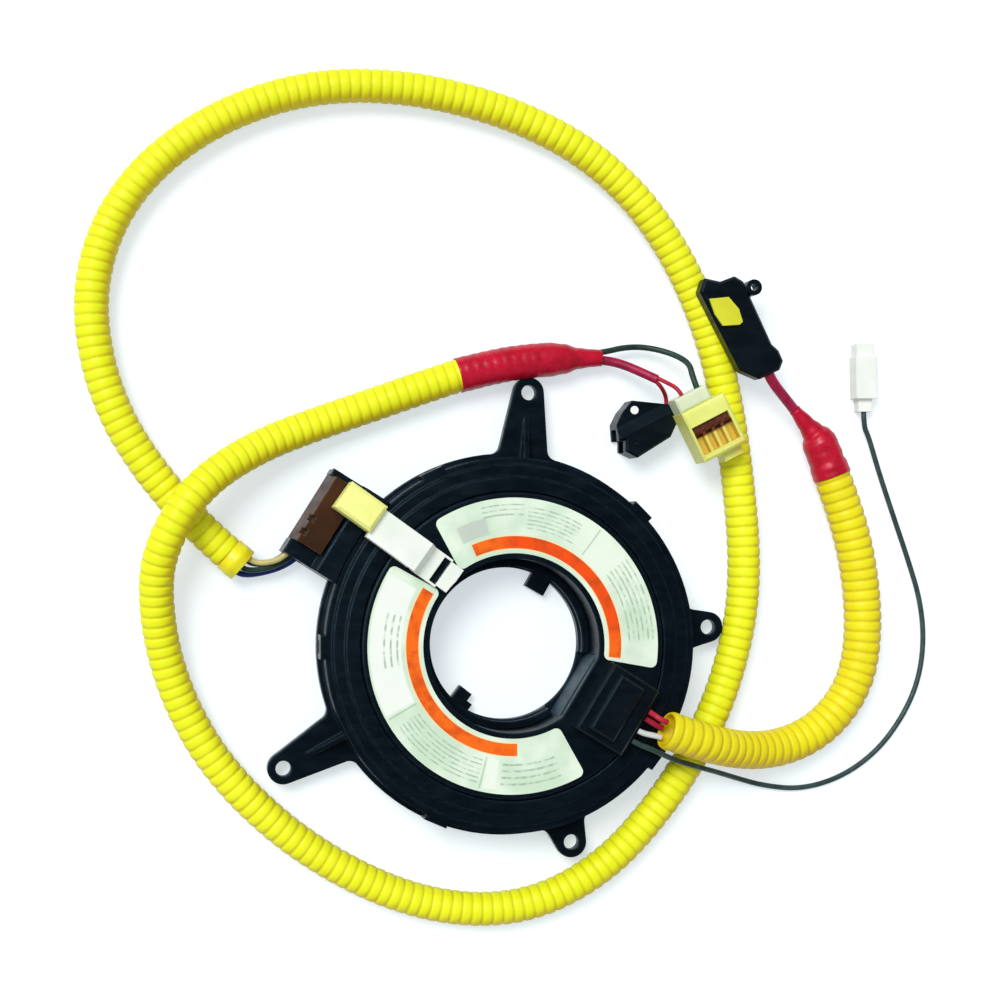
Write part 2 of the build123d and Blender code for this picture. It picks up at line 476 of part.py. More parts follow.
with BuildPart() as housing_tray:
    with BuildSketch():
        Circle(TRAY_RADIUS)
        Circle(SLEEVE_FLANGE_RADIUS + RUNNING_GAP, mode=Mode.SUBTRACT)
    extrude(amount=TRAY_HEIGHT)
    # flange and ears in one plate
    with BuildSketch(Plane.XY.offset(FLANGE_BOTTOM)) as plate:
        Circle(FLANGE_RADIUS)
        for reach, angle in ear_places:
            root = LONG_EAR_ROOT if reach == LONG_EAR_REACH else SHORT_EAR_ROOT
            add(ear_outline(reach, root).rotate(Axis.Z, angle))
        notches = [v for v in plate.vertices() if abs(Vector(v.X, v.Y).length - FLANGE_RADIUS) < 0.01]
        fillet([v for v in notches if v.Y != 0], EAR_ROOT_FILLET)
        for reach, angle in ear_places:
            with Locations(spot(angle, reach, 0, 0)):
                Circle(EAR_HOLE_RADIUS, mode=Mode.SUBTRACT)
    extrude(amount=FLANGE_THICKNESS)
    # upright gusset along each ear
    for reach, angle in ear_places:
        with BuildSketch(upright(angle)):
            with BuildLine():
                foot = FLANGE_BOTTOM + FLANGE_THICKNESS
                tip = reach - GUSSET_SHORT_OF_HOLE
                Polyline((EAR_INNER_END, foot - 1), (EAR_INNER_END, foot + GUSSET_HEIGHT),
                         (TRAY_RADIUS, foot + GUSSET_HEIGHT), (tip, foot), (tip, foot - 1), close=True)
            make_face()
        extrude(amount=GUSSET_THICKNESS / 2, both=True)
    # column socket: block behind the plug, floor and two arms beside it
    with BuildSketch(facing(SOCKET_ANGLE, SOCKET_BOTTOM)):
        with Locations(((SOCKET_INNER_END + SOCKET_OUTER) / 2, sum(SOCKET_SIDES) / 2)):
            Rectangle(SOCKET_OUTER - SOCKET_INNER_END, SOCKET_SIDES[1] - SOCKET_SIDES[0])
    extrude(amount=SOCKET_TOP - SOCKET_BOTTOM)
    top_edges = housing_tray.faces().sort_by(Axis.Z)[-1].edges()
    chamfer(top_edges.sort_by(Axis((0, 0, 0), spot(SOCKET_ANGLE, 1, 0, 0)))[-1], SOCKET_EDGE)
    shelf_end = SOCKET_OUTER + SOCKET_SHELF
    with BuildSketch(facing(SOCKET_ANGLE, SOCKET_BOTTOM)):
        with Locations(((SOCKET_INNER_END + shelf_end) / 2, sum(SOCKET_SIDES) / 2)):
            Rectangle(shelf_end - SOCKET_INNER_END, SOCKET_SIDES[1] - SOCKET_SIDES[0])
    extrude(amount=SOCKET_FLOOR)
    with BuildSketch(facing(SOCKET_ANGLE, SOCKET_BOTTOM)):
        with Locations(((SOCKET_INNER_END + ARM_OUTER) / 2, SOCKET_SIDES[0] + FAR_ARM_WIDTH / 2)):
            Rectangle(ARM_OUTER - SOCKET_INNER_END, FAR_ARM_WIDTH)
        with Locations(((SOCKET_INNER_END + ARM_OUTER) / 2, SOCKET_SIDES[1] - NEAR_ARM_WIDTH / 2)):
            Rectangle(ARM_OUTER - SOCKET_INNER_END, NEAR_ARM_WIDTH)
    extrude(amount=ARM_TOP - SOCKET_BOTTOM)
    # post that the lock clip's block drops over
    post_spot = spot(LOCK_ANGLE, POST_REACH, LOCK_OFFSET, SOCKET_TOP - 1)
    with BuildSketch(Plane.XY.offset(SOCKET_TOP - 1)):
        with Locations(post_spot[:2]):
            Circle(POST_RADIUS)
    extrude(amount=POST_TOP - SOCKET_TOP + 1)
    # round cavity for the wound cable, and the plug's mouth and slots
    with BuildSketch(Plane.XY.offset(FLOOR_THICKNESS)):
        Circle(TRAY_RADIUS - TRAY_WALL)
    extrude(amount=SOCKET_TOP, mode=Mode.SUBTRACT)
    with BuildSketch(Plane.XY.offset(TRAY_HEIGHT)):
        Circle(TRAY_RADIUS + 2 * SNAP_GAP)
    extrude(amount=SOCKET_TOP - TRAY_HEIGHT, mode=Mode.SUBTRACT)
    with BuildSketch(facing(SOCKET_ANGLE, socket_seat)):
        with Locations(((SOCKET_BACK + SOCKET_OUTER) / 2, socket_cavity_middle)):
            Rectangle(SOCKET_OUTER - SOCKET_BACK, socket_cavity_width)
    extrude(amount=SOCKET_TOP - SOCKET_ROOF - socket_seat, mode=Mode.SUBTRACT)
    with BuildSketch(facing(SOCKET_ANGLE, socket_seat)):
        slot_middle = SOCKET_OUTER + WIRE_SLOT_START + WIRE_SLOT_LENGTH / 2
        with Locations((slot_middle, SOCKET_SIDES[1] - NEAR_ARM_WIDTH / 2)):
            Rectangle(WIRE_SLOT_LENGTH, NEAR_ARM_WIDTH + 1)
    extrude(amount=WIRE_SLOT_TOP - socket_seat, mode=Mode.SUBTRACT)
    with BuildSketch(crosswise(SOCKET_ANGLE, BUSBAR_PLATE_SPAN[1])):
        with Locations((BUSBAR_MIDDLE, BUSBAR_MIDDLE_HEIGHT)):
            Rectangle(*BUSBAR_WINDOW)
    extrude(amount=SOCKET_BACK - BUSBAR_PLATE_SPAN[1], mode=Mode.SUBTRACT)
    # stepped-up ledge round the rotor's hub
    with BuildSketch(Plane.XY.offset(LEDGE_BOTTOM)):
        Circle(LEDGE_RADIUS)
        Circle(HUB_BORE_RADIUS + HUB_WALL + RUNNING_GAP, mode=Mode.SUBTRACT)
    extrude(amount=LEDGE_THICKNESS)
    # wedge nubs for the cover's snap tabs
    for angle in SNAP_ANGLES:
        with BuildSketch(upright(angle)):
            with BuildLine():
                nub_face = TRAY_RADIUS + SNAP_THICKNESS - SNAP_GAP
                Polyline((TRAY_RADIUS - TRAY_WALL / 2, NUB_HEIGHTS[0]), (nub_face, NUB_HEIGHTS[0]),
                         (TRAY_RADIUS, NUB_HEIGHTS[1]), (TRAY_RADIUS - TRAY_WALL / 2, NUB_HEIGHTS[1]), close=True)
            make_face()
        extrude(amount=NUB_WIDTH / 2, both=True)
finish(housing_tray, "housing_tray")

# ---- housing cover: a stepped ring with a lip under the rotor and snap tabs ------------------------
with BuildPart() as housing_cover:
    with BuildSketch(Plane.XZ):
        with BuildLine():
            spigot_outer = TRAY_RADIUS - TRAY_WALL - SPIGOT_GAP
            spigot_inner = spigot_outer - COVER_SPIGOT_WALL
            inner_step, outer_step = TRAY_RADIUS - COVER_STEP_WIDTHS[0], TRAY_RADIUS - COVER_STEP_WIDTHS[1]
            Polyline(
                (COVER_LIP_RADIUS, COVER_LIP_BOTTOM), (COVER_LIP_RADIUS, COVER_LIP_TOP),
                (COVER_BORE_RADIUS, COVER_LIP_TOP), (COVER_BORE_RADIUS, COVER_TOP),
                (inner_step, COVER_TOP), (inner_step + COVER_STEP_SLOPE, COVER_STEP_TOPS[0]),
                (outer_step, COVER_STEP_TOPS[0]), (outer_step + COVER_STEP_SLOPE, COVER_STEP_TOPS[1]),
                (TRAY_RADIUS, COVER_STEP_TOPS[1]), (TRAY_RADIUS, TRAY_HEIGHT), (spigot_outer, TRAY_HEIGHT),
                (spigot_outer, TRAY_HEIGHT - COVER_SPIGOT_DEPTH),
                (spigot_inner, TRAY_HEIGHT - COVER_SPIGOT_DEPTH), (spigot_inner, COVER_LIP_BOTTOM), close=True,
            )
        make_face()
    revolve(axis=Axis.Z)
    for angle in SNAP_ANGLES:
        tab_inner = TRAY_RADIUS + SNAP_GAP
        tab_outer = tab_inner + SNAP_THICKNESS
        with BuildSketch(upright(angle)):
            with BuildLine():
                Polyline((TRAY_RADIUS - 1.5, TRAY_HEIGHT), (tab_inner, TRAY_HEIGHT), (tab_inner, SNAP_BOTTOM),
                         (tab_outer, SNAP_BOTTOM), (tab_outer, COVER_STEP_TOPS[1]),
                         (TRAY_RADIUS - 1.5, COVER_STEP_TOPS[1]), close=True)
            make_face()
        extrude(amount=SNAP_WIDTH / 2, both=True)
        with BuildSketch(crosswise(angle, TRAY_RADIUS)):
            with Locations((0, sum(SNAP_WINDOW_HEIGHTS) / 2)):
                Rectangle(SNAP_WINDOW_WIDTH, SNAP_WINDOW_HEIGHTS[1] - SNAP_WINDOW_HEIGHTS[0])
        extrude(amount=SNAP_THICKNESS + 1, mode=Mode.SUBTRACT)
finish(housing_cover, "housing_cover")

# ---- rotor disc with its hub ----------------------------------------------------------------------
window_arc = (SHROUD_ANGLE - TERMINAL_HALF_ANGLE - TERMINAL_SLIP_ANGLE,
              SHROUD_ANGLE + TERMINAL_HALF_ANGLE + TERMINAL_SLIP_ANGLE)
disc_bottom = DISC_TOP - DISC_THICKNESS
with BuildSketch() as segment_outline:
    Circle(HUB_BORE_RADIUS + HUB_WALL / 2)
    with Locations((HUB_FLAT_REACH - HUB_BORE_RADIUS, 0)):
        Rectangle(2 * HUB_BORE_RADIUS, 3 * HUB_BORE_RADIUS, mode=Mode.SUBTRACT)
bore_segment = segment_outline.sketch
with BuildPart() as rotor_disc:
    with BuildSketch(Plane.XY.offset(disc_bottom)):
        Circle(DISC_RADIUS)
    extrude(amount=DISC_THICKNESS)
    chamfer(rotor_disc.edges().filter_by(GeomType.CIRCLE).sort_by(Axis.Z)[-1], DISC_EDGE_CHAMFER)
    with BuildSketch(Plane.XY.offset(HUB_BOTTOM)):
        Circle(HUB_BORE_RADIUS + HUB_WALL)
    extrude(amount=disc_bottom - HUB_BOTTOM)
    with BuildSketch():
        Circle(HUB_BORE_RADIUS)
    extrude(amount=DISC_TOP, mode=Mode.SUBTRACT)
    # flat across the bore on the connector's side
    with BuildSketch(facing(SHROUD_ANGLE, disc_bottom)):
        add(bore_segment)
    extrude(amount=DISC_THICKNESS)
    with BuildSketch(Plane.XY.offset(HUB_BOTTOM)):
        add(sector(HUB_BORE_RADIUS - 1, HUB_BORE_RADIUS + HUB_WALL + 1, window_arc, window_arc))
    extrude(amount=TERMINAL_TOP + TERMINAL_SLIP - HUB_BOTTOM, mode=Mode.SUBTRACT)
    with BuildSketch(facing(SHROUD_ANGLE, disc_bottom)):
        with Locations((ROTOR_PIN_RADIUS, 0)):
            Rectangle(*PIN_SLOT)
    extrude(amount=DISC_THICKNESS, mode=Mode.SUBTRACT)
    with BuildSketch(Plane.XY.offset(disc_bottom)):
        for angle in PEG_ANGLES:
            with Locations(spot(angle, HUB_BORE_RADIUS + PEG_SETBACK, 0, 0)):
                Circle(PEG_HOLE_RADIUS)
    extrude(amount=DISC_THICKNESS, mode=Mode.SUBTRACT)
finish(rotor_disc, "rotor_disc")

# ---- rotor sleeve: lines the hub, carries the drive lugs and runs under the tray's ledge -----------
with BuildPart() as rotor_sleeve:
    with BuildSketch(Plane.XY.offset(SLEEVE_BOTTOM)):
        Circle(SLEEVE_FLANGE_RADIUS)
    extrude(amount=HUB_BOTTOM - SLEEVE_BOTTOM)
    with BuildSketch(Plane.XY.offset(SLEEVE_BOTTOM)):
        Circle(SLEEVE_BORE_RADIUS + SLEEVE_WALL)
    extrude(amount=SLEEVE_TOP - SLEEVE_BOTTOM)
    with BuildSketch(Plane.XY.offset(HUB_BOTTOM)):
        add(sector(LUG_RING_RADIUS - 2, SLEEVE_BORE_RADIUS + SLEEVE_WALL + 1, window_arc, window_arc))
    extrude(amount=SLEEVE_TOP, mode=Mode.SUBTRACT)
    with BuildSketch():
        Circle(LUG_RING_RADIUS)
    extrude(amount=SLEEVE_TOP, mode=Mode.SUBTRACT)
    with BuildSketch(Plane.XY.offset(SLEEVE_BOTTOM + LUG_HEIGHT)):
        Circle(SLEEVE_BORE_RADIUS)
    extrude(amount=SLEEVE_TOP, mode=Mode.SUBTRACT)
    for angle in LUG_ANGLES:
        with BuildSketch(facing(angle, SLEEVE_BOTTOM)):
            lug_root = SLEEVE_BORE_RADIUS + SLEEVE_WALL / 2
            with Locations(((LUG_TIP_RADIUS + lug_root) / 2, 0)):
                Rectangle(lug_root - LUG_TIP_RADIUS, LUG_WIDTH)
            if angle == LUG_ANGLES[1]:
                with Locations((LUG_TIP_RADIUS + LUG_NOTCH[0] / 2, LUG_WIDTH / 2 - LUG_NOTCH[1] / 2)):
                    Rectangle(*LUG_NOTCH, mode=Mode.SUBTRACT)
        extrude(amount=LUG_HEIGHT)
finish(rotor_sleeve, "rotor_sleeve")

# ---- terminal of the flat cable on the rotor, and its pins -----------------------------------------
pin_steps = [(i - (ROTOR_PIN_COUNT - 1) / 2) * ROTOR_PIN_SPACING for i in range(ROTOR_PIN_COUNT)]
with BuildPart() as rotor_terminal:
    block_arc = (SHROUD_ANGLE - TERMINAL_HALF_ANGLE, SHROUD_ANGLE + TERMINAL_HALF_ANGLE)
    lap_arc = (SHROUD_ANGLE - TERMINAL_LAP_ANGLE, SHROUD_ANGLE + TERMINAL_LAP_ANGLE)
    with BuildSketch(Plane.XY.offset(HUB_BOTTOM)):
        add(sector(HUB_FLAT_REACH - 1, HUB_BORE_RADIUS + HUB_WALL, block_arc, block_arc))
    extrude(amount=TERMINAL_TOP - HUB_BOTTOM)
    # its face across the bore is flat
    with BuildSketch(facing(SHROUD_ANGLE, HUB_BOTTOM)):
        with Locations((HUB_FLAT_REACH / 2, 0)):
            Rectangle(HUB_FLAT_REACH, 3 * HUB_BORE_RADIUS)
    extrude(amount=TERMINAL_TOP - HUB_BOTTOM, mode=Mode.SUBTRACT)
    with BuildSketch(Plane.XY.offset(TERMINAL_LAP_HEIGHTS[0])):
        add(sector(HUB_BORE_RADIUS + HUB_WALL, TERMINAL_OUTER_RADIUS, lap_arc, lap_arc))
    extrude(amount=TERMINAL_LAP_HEIGHTS[1] - TERMINAL_LAP_HEIGHTS[0])
    with BuildSketch(facing(SHROUD_ANGLE, ROTOR_PIN_BOTTOM)):
        with Locations(*[(ROTOR_PIN_RADIUS, step) for step in pin_steps]):
            Rectangle(ROTOR_PIN_SIZE, ROTOR_PIN_SIZE)
    extrude(amount=TERMINAL_LAP_HEIGHTS[1] - ROTOR_PIN_BOTTOM, mode=Mode.SUBTRACT)
finish(rotor_terminal, "rotor_terminal")

with BuildPart() as rotor_pins:
    pin_top = ROTOR_WIRE_HEIGHT + ROTOR_PIN_SIZE / 2
    pin_heel = ROTOR_PIN_RADIUS - ROTOR_PIN_SIZE / 2
    for step in pin_steps:
        with BuildSketch(upright(SHROUD_ANGLE, step)):
            with BuildLine():
                Polyline((pin_heel, ROTOR_PIN_BOTTOM), (pin_heel + ROTOR_PIN_SIZE, ROTOR_PIN_BOTTOM),
                         (pin_heel + ROTOR_PIN_SIZE, pin_top - ROTOR_PIN_SIZE),
                         (ROTOR_PIN_REACH, pin_top - ROTOR_PIN_SIZE), (ROTOR_PIN_REACH, pin_top),
                         (pin_heel, pin_top), close=True)
            make_face()
        extrude(amount=ROTOR_PIN_SIZE / 2, both=True)
finish(rotor_pins, "rotor_pins")

# ---- flat cable: a spiral of half circles about two alternating centres ----------------------------
with BuildPart() as ribbon_cable:
    ribbon_inner = TERMINAL_OUTER_RADIUS + RIBBON_THICKNESS / 2
    growth = (RIBBON_OUTER_RADIUS - ribbon_inner) / (RIBBON_HALF_TURNS - 1)
    with BuildSketch(facing(SHROUD_ANGLE, RIBBON_HEIGHTS[0])):
        with BuildLine() as spiral:
            ends = []
            for half in (-RIBBON_THICKNESS / 2, RIBBON_THICKNESS / 2):
                for turn in range(RIBBON_HALF_TURNS):
                    centre = (growth * (turn % 2), 0)
                    arc = CenterArc(centre, ribbon_inner + growth * turn + half, 180 * (turn % 2), 180)
                    if turn == 0:
                        ends.append(arc @ 0)
                ends.append(arc @ 1)
            Line(ends[0], ends[2])
            Line(ends[1], ends[3])
        make_face()
    extrude(amount=RIBBON_HEIGHTS[1] - RIBBON_HEIGHTS[0])
finish(ribbon_cable, "ribbon_cable")

# ---- terminal block of the flat cable on the stator, and its pins ----------------------------------
pin_places = [(BUSBAR_MIDDLE + (i - (PLUG_PIN_COLUMNS - 1) / 2) * PLUG_PIN_PITCH, height)
              for i in range(PLUG_PIN_COLUMNS) for height in PLUG_PIN_ROW_HEIGHTS]
with BuildPart() as terminal_block:
    with BuildSketch(crosswise(SOCKET_ANGLE, BUSBAR_PLATE_SPAN[0])):
        with Locations((0, BUSBAR_MIDDLE_HEIGHT)):
            Rectangle(*BUSBAR_PLATE)
    extrude(amount=BUSBAR_PLATE_SPAN[1] - BUSBAR_PLATE_SPAN[0])
    with BuildSketch(crosswise(SOCKET_ANGLE, BUSBAR_PLATE_SPAN[1])):
        with Locations((BUSBAR_MIDDLE, BUSBAR_MIDDLE_HEIGHT)):
            Rectangle(BUSBAR_WINDOW[0], BUSBAR_WINDOW[1])
    extrude(amount=SOCKET_BACK - BUSBAR_PLATE_SPAN[1])
    with BuildSketch(crosswise(SOCKET_ANGLE, PLUG_PIN_SPAN[0])):
        with Locations(*pin_places):
            Rectangle(PLUG_PIN_SIZE, PLUG_PIN_SIZE)
    extrude(amount=SOCKET_BACK - PLUG_PIN_SPAN[0], mode=Mode.SUBTRACT)
finish(terminal_block, "terminal_block")

with BuildPart() as socket_pins:
    with BuildSketch(crosswise(SOCKET_ANGLE, PLUG_PIN_SPAN[0])):
        with Locations(*pin_places):
            Rectangle(PLUG_PIN_SIZE, PLUG_PIN_SIZE)
    extrude(amount=PLUG_PIN_SPAN[1] - PLUG_PIN_SPAN[0])
finish(socket_pins, "socket_pins")

# ---- column plug -----------------------------------------------------------------------------------
plug_width = socket_cavity_width - 2 * PLUG_SIDE_GAP
with BuildPart() as column_plug:
    with BuildSketch(facing(SOCKET_ANGLE, socket_seat)):
        with Locations(((SOCKET_BACK + FIT_GAP + SOCKET_OUTER) / 2, socket_cavity_middle)):
            Rectangle(SOCKET_OUTER - SOCKET_BACK - FIT_GAP, plug_width)
    extrude(amount=SOCKET_TOP - SOCKET_ROOF - FIT_GAP - socket_seat)
    with BuildSketch(upright(SOCKET_ANGLE, socket_cavity_middle)):
        with BuildLine():
            Polyline((SOCKET_OUTER, socket_seat), (PLUG_OUTER + PLUG_FLARE, socket_seat),
                     (PLUG_OUTER, PLUG_TOP), (SOCKET_OUTER, PLUG_TOP), close=True)
        make_face()
    extrude(amount=plug_width / 2, both=True)
    for step in PLUG_NOTCH_PLACES:
        with BuildSketch(facing(SOCKET_ANGLE, PLUG_TOP - PLUG_NOTCH[1])):
            with Locations((PLUG_OUTER, step)):
                Rectangle(2 * PLUG_NOTCH[2], PLUG_NOTCH[0])
        extrude(amount=PLUG_NOTCH[1], mode=Mode.SUBTRACT)
    with BuildSketch(crosswise(SOCKET_ANGLE, SOCKET_BACK)):
        with Locations(*pin_places):
            Rectangle(PLUG_PIN_SIZE + 2 * PIN_GAP, PLUG_PIN_SIZE + 2 * PIN_GAP)
    extrude(amount=PLUG_PIN_SPAN[1] + PIN_GAP - SOCKET_BACK, mode=Mode.SUBTRACT)
finish(column_plug, "column_plug")

# ---- rotor connector: shroud, lid and plug ---------------------------------------------------------
plug_floor = DISC_TOP + SHROUD_WALL
with BuildPart() as connector_shroud:
    with BuildSketch(facing(SHROUD_ANGLE, DISC_TOP)):
        with Locations(((SHROUD_START + SHROUD_END) / 2, 0)):
            Rectangle(SHROUD_LENGTH, SHROUD_WIDTH)
    extrude(amount=SHROUD_TOP - DISC_TOP)
    chamfer(connector_shroud.faces().sort_by(Axis.Z)[-1].edges(), SHROUD_EDGE)
    with BuildSketch(facing(SHROUD_ANGLE, plug_floor)):
        with Locations(((SHROUD_START + SHROUD_WALL + SHROUD_END) / 2, 0)):
            Rectangle(SHROUD_LENGTH - SHROUD_WALL, SHROUD_WIDTH - 2 * SHROUD_WALL)
    extrude(amount=SHROUD_TOP - SHROUD_WALL - plug_floor, mode=Mode.SUBTRACT)
    with BuildSketch(facing(SHROUD_ANGLE, DISC_TOP)):
        with Locations((ROTOR_PIN_RADIUS, 0)):
            Rectangle(*PIN_SLOT)
    extrude(amount=SHROUD_WALL, mode=Mode.SUBTRACT)
finish(connector_shroud, "connector_shroud")

with BuildPart() as shroud_lid:
    with BuildSketch(facing(SHROUD_ANGLE, SHROUD_TOP)):
        with Locations((LID_START + LID_LENGTH / 2, 0)):
            Rectangle(LID_LENGTH, LID_WIDTH)
    extrude(amount=LID_HEIGHT)
    chamfer(shroud_lid.faces().sort_by(Axis.Z)[-1].edges(), LID_EDGE)
finish(shroud_lid, "shroud_lid")

rotor_plug_width = SHROUD_WIDTH - 2 * SHROUD_WALL - 2 * FIT_GAP
with BuildPart() as rotor_plug:
    with BuildSketch(facing(SHROUD_ANGLE, plug_floor)):
        with Locations(((ROTOR_PLUG_START + ROTOR_PLUG_END) / 2, 0)):
            Rectangle(ROTOR_PLUG_LENGTH, rotor_plug_width)
    extrude(amount=SHROUD_TOP - SHROUD_WALL - FIT_GAP - plug_floor)
    with BuildSketch(crosswise(SHROUD_ANGLE, ROTOR_PLUG_START)):
        with Locations(*[(step, ROTOR_WIRE_HEIGHT) for step in pin_steps]):
            Rectangle(ROTOR_PIN_SIZE + 2 * PIN_GAP, ROTOR_PIN_SIZE + 2 * PIN_GAP)
    extrude(amount=ROTOR_PIN_REACH + PIN_GAP - ROTOR_PLUG_START, mode=Mode.SUBTRACT)
finish(rotor_plug, "rotor_plug")

# ---- face labels -----------------------------------------------------------------------------------
with BuildPart() as label_upper:
    with BuildSketch(Plane.XY.offset(DISC_TOP)):
        add(sector(LABEL_INNER_RADIUS, LABEL_OUTER_RADIUS, UPPER_LABEL_INNER_ANGLES, UPPER_LABEL_OUTER_ANGLES,
                   LABEL_CORNER))
    extrude(amount=LABEL_THICKNESS)
finish(label_upper, "label_upper")

with BuildPart() as label_lower:
    with BuildSketch(Plane.XY.offset(DISC_TOP)):
        add(sector(LABEL_INNER_RADIUS, LABEL_OUTER_RADIUS, LOWER_LABEL_INNER_ANGLES, LOWER_LABEL_OUTER_ANGLES,
                   LABEL_CORNER))
    extrude(amount=LABEL_THICKNESS)
finish(label_lower, "label_lower")

# ---- lock clip -------------------------------------------------------------------------------------
foot_bottom = DISC_TOP + FOOT_GAP
foot_top = foot_bottom + FOOT_THICKNESS
with BuildPart() as lock_strap:
    with BuildSketch(upright(LOCK_ANGLE, LOCK_OFFSET)):
        with BuildLine():
            Polyline(
                (FOOT_INNER_END, foot_bottom), (FOOT_OUTER_END, foot_bottom),
                (FOOT_OUTER_END + BAR_RAMP, BAR_TOP - BAR_WALL), (BAR_OUTER, BAR_TOP - BAR_WALL),
                (BAR_OUTER, BAR_TOP), (FOOT_OUTER_END + BAR_RAMP - BAR_WALL, BAR_TOP),
                (FOOT_OUTER_END - BAR_WALL, foot_top), (FOOT_INNER_END, foot_top), close=True,
            )
        make_face()
    extrude(amount=BAR_WIDTH / 2, both=True)
    # narrower inner end cut along the bore, slot, and side flanges under the bar
    with BuildSketch(facing(LOCK_ANGLE, foot_bottom, LOCK_OFFSET)):
        for side in (-1, 1):
            with Locations((FOOT_TAB_END - FOOT_INNER_END / 2, side * (FOOT_TAB_WIDTH + BAR_WIDTH) / 2)):
                Rectangle(FOOT_INNER_END, BAR_WIDTH)
    extrude(amount=FOOT_THICKNESS, mode=Mode.SUBTRACT)
    with BuildSketch(Plane.XY.offset(foot_bottom)):
        Circle(FOOT_INNER_END + 0.5)
    extrude(amount=FOOT_THICKNESS, mode=Mode.SUBTRACT)
    with BuildSketch(facing(LOCK_ANGLE, foot_bottom, LOCK_OFFSET)):
        with Locations((LOCK_SLOT_RADIUS, 0)):
            Rectangle(*LOCK_SLOT)
    extrude(amount=FOOT_THICKNESS, mode=Mode.SUBTRACT)
    flange_start = FOOT_OUTER_END + BAR_RAMP
    with BuildSketch(facing(LOCK_ANGLE, BAR_FLANGE_BOTTOM, LOCK_OFFSET)):
        for side in (-1, 1):
            with Locations(((flange_start + BAR_OUTER) / 2, side * (BAR_WIDTH - BAR_WALL) / 2)):
                Rectangle(BAR_OUTER - flange_start, BAR_WALL)
    extrude(amount=BAR_TOP - BAR_WALL - BAR_FLANGE_BOTTOM)
    with BuildSketch(facing(LOCK_ANGLE, BAR_TOP - BAR_WALL, LOCK_OFFSET)):
        with Locations(((BAR_OUTER + TONGUE_OUTER) / 2 - 0.5, 0)):
            Rectangle(TONGUE_OUTER - BAR_OUTER + 1, TONGUE_WIDTH)
    extrude(amount=BAR_WALL)
    with BuildSketch(Plane.XY.offset(PEG_BOTTOM)):
        for angle in PEG_ANGLES:
            with Locations(spot(angle, HUB_BORE_RADIUS + PEG_SETBACK, 0, 0)):
                Circle(PEG_RADIUS)
    extrude(amount=foot_bottom - PEG_BOTTOM)
finish(lock_strap, "lock_strap")

with BuildPart() as lock_block:
    block_frame = facing(LOCK_ANGLE, BLOCK_HEIGHTS[0], LOCK_OFFSET)
    with BuildSketch(block_frame):
        with Locations((BAR_OUTER + BLOCK_LENGTH / 2, BLOCK_SIDE)):
            Rectangle(BLOCK_LENGTH, BLOCK_WIDTH)
    extrude(amount=BLOCK_HEIGHTS[1] - BLOCK_HEIGHTS[0])
    chamfer(lock_block.faces().sort_by(Axis.Z)[-1].edges(), BLOCK_EDGE)
    with BuildSketch(facing(LOCK_ANGLE, BAR_TOP - BAR_WALL, LOCK_OFFSET)):
        with Locations(((BAR_OUTER + TONGUE_OUTER) / 2, 0)):
            Rectangle(TONGUE_OUTER - BAR_OUTER, TONGUE_WIDTH)
    extrude(amount=BAR_WALL, mode=Mode.SUBTRACT)
    with BuildSketch(block_frame):
        with Locations((POST_REACH, 0)):
            Circle(POST_POCKET_RADIUS)
    extrude(amount=POST_POCKET_TOP - BLOCK_HEIGHTS[0], mode=Mode.SUBTRACT)
finish(lock_block, "lock_block")

# ---- long conduit from the column plug, its collar, sleeve and lead --------------------------------
collar_start = beside(CONDUIT_A[1], CONDUIT_A[0], 0, 0, COLLAR_LENGTH)
sleeve_a_route = (CONDUIT_A[-1], beside(CONDUIT_A[-2], CONDUIT_A[-1], 0, 0, SLEEVE_A_STRAIGHT), *SLEEVE_A)
sleeve_b_route = (CONDUIT_B[-1], beside(CONDUIT_B[-2], CONDUIT_B[-1], 0, 0, SLEEVE_B_LENGTH))
checks = []

with BuildPart() as column_conduit:
    checks.append((column_conduit, cord("column_conduit", CONDUIT_A, CONDUIT_A_DIAMETER)))
finish(column_conduit, "column_conduit")

with BuildPart() as conduit_collar:
    cord_axis = Plane(origin=collar_start, z_dir=Vector(*CONDUIT_A[0]) - Vector(*collar_start))
    with BuildSketch(cord_axis):
        Circle(COLLAR_DIAMETER / 2)
    extrude(amount=COLLAR_LENGTH)
finish(conduit_collar, "conduit_collar")


def sleeve(name, route, diameter, nose):
    """Round sleeve along its route, then a taper to the nose."""
    way = Vector(*route[-1]) - Vector(*route[-2])
    tip_way = Vector(*nose) - Vector(*route[-1])
    if len(route) > 2:
        cord(name, route, diameter)
    else:
        with BuildSketch(Plane(origin=route[0], z_dir=way)) as start:
            Circle(diameter / 2)
        extrude(start.sketch, amount=way.length)
    with BuildSketch(Plane(origin=route[-1], z_dir=way)) as wide:
        Circle(diameter / 2)
    with BuildSketch(Plane(origin=nose, z_dir=tip_way)) as narrow:
        Circle(NOSE_DIAMETER / 2)
    loft([wide.sketch.face(), narrow.sketch.face()], ruled=True)


with BuildPart() as column_sleeve:
    sleeve("column_sleeve", sleeve_a_route, SLEEVE_A_DIAMETER, SLEEVE_A_NOSE)
finish(column_sleeve, "column_sleeve")

lead_a_start = beside(SLEEVE_A[-1], SLEEVE_A_NOSE, -LEAD_A_SIDE, 0)
lead_a_route = (lead_a_start, beside(SLEEVE_A[-1], SLEEVE_A_NOSE, -LEAD_A_SIDE, 0, LEAD_IN), *LEAD_A)
with BuildPart() as column_lead:
    checks.append((column_lead, cord("column_lead", lead_a_route, LEAD_A_DIAMETER)))
finish(column_lead, "column_lead")

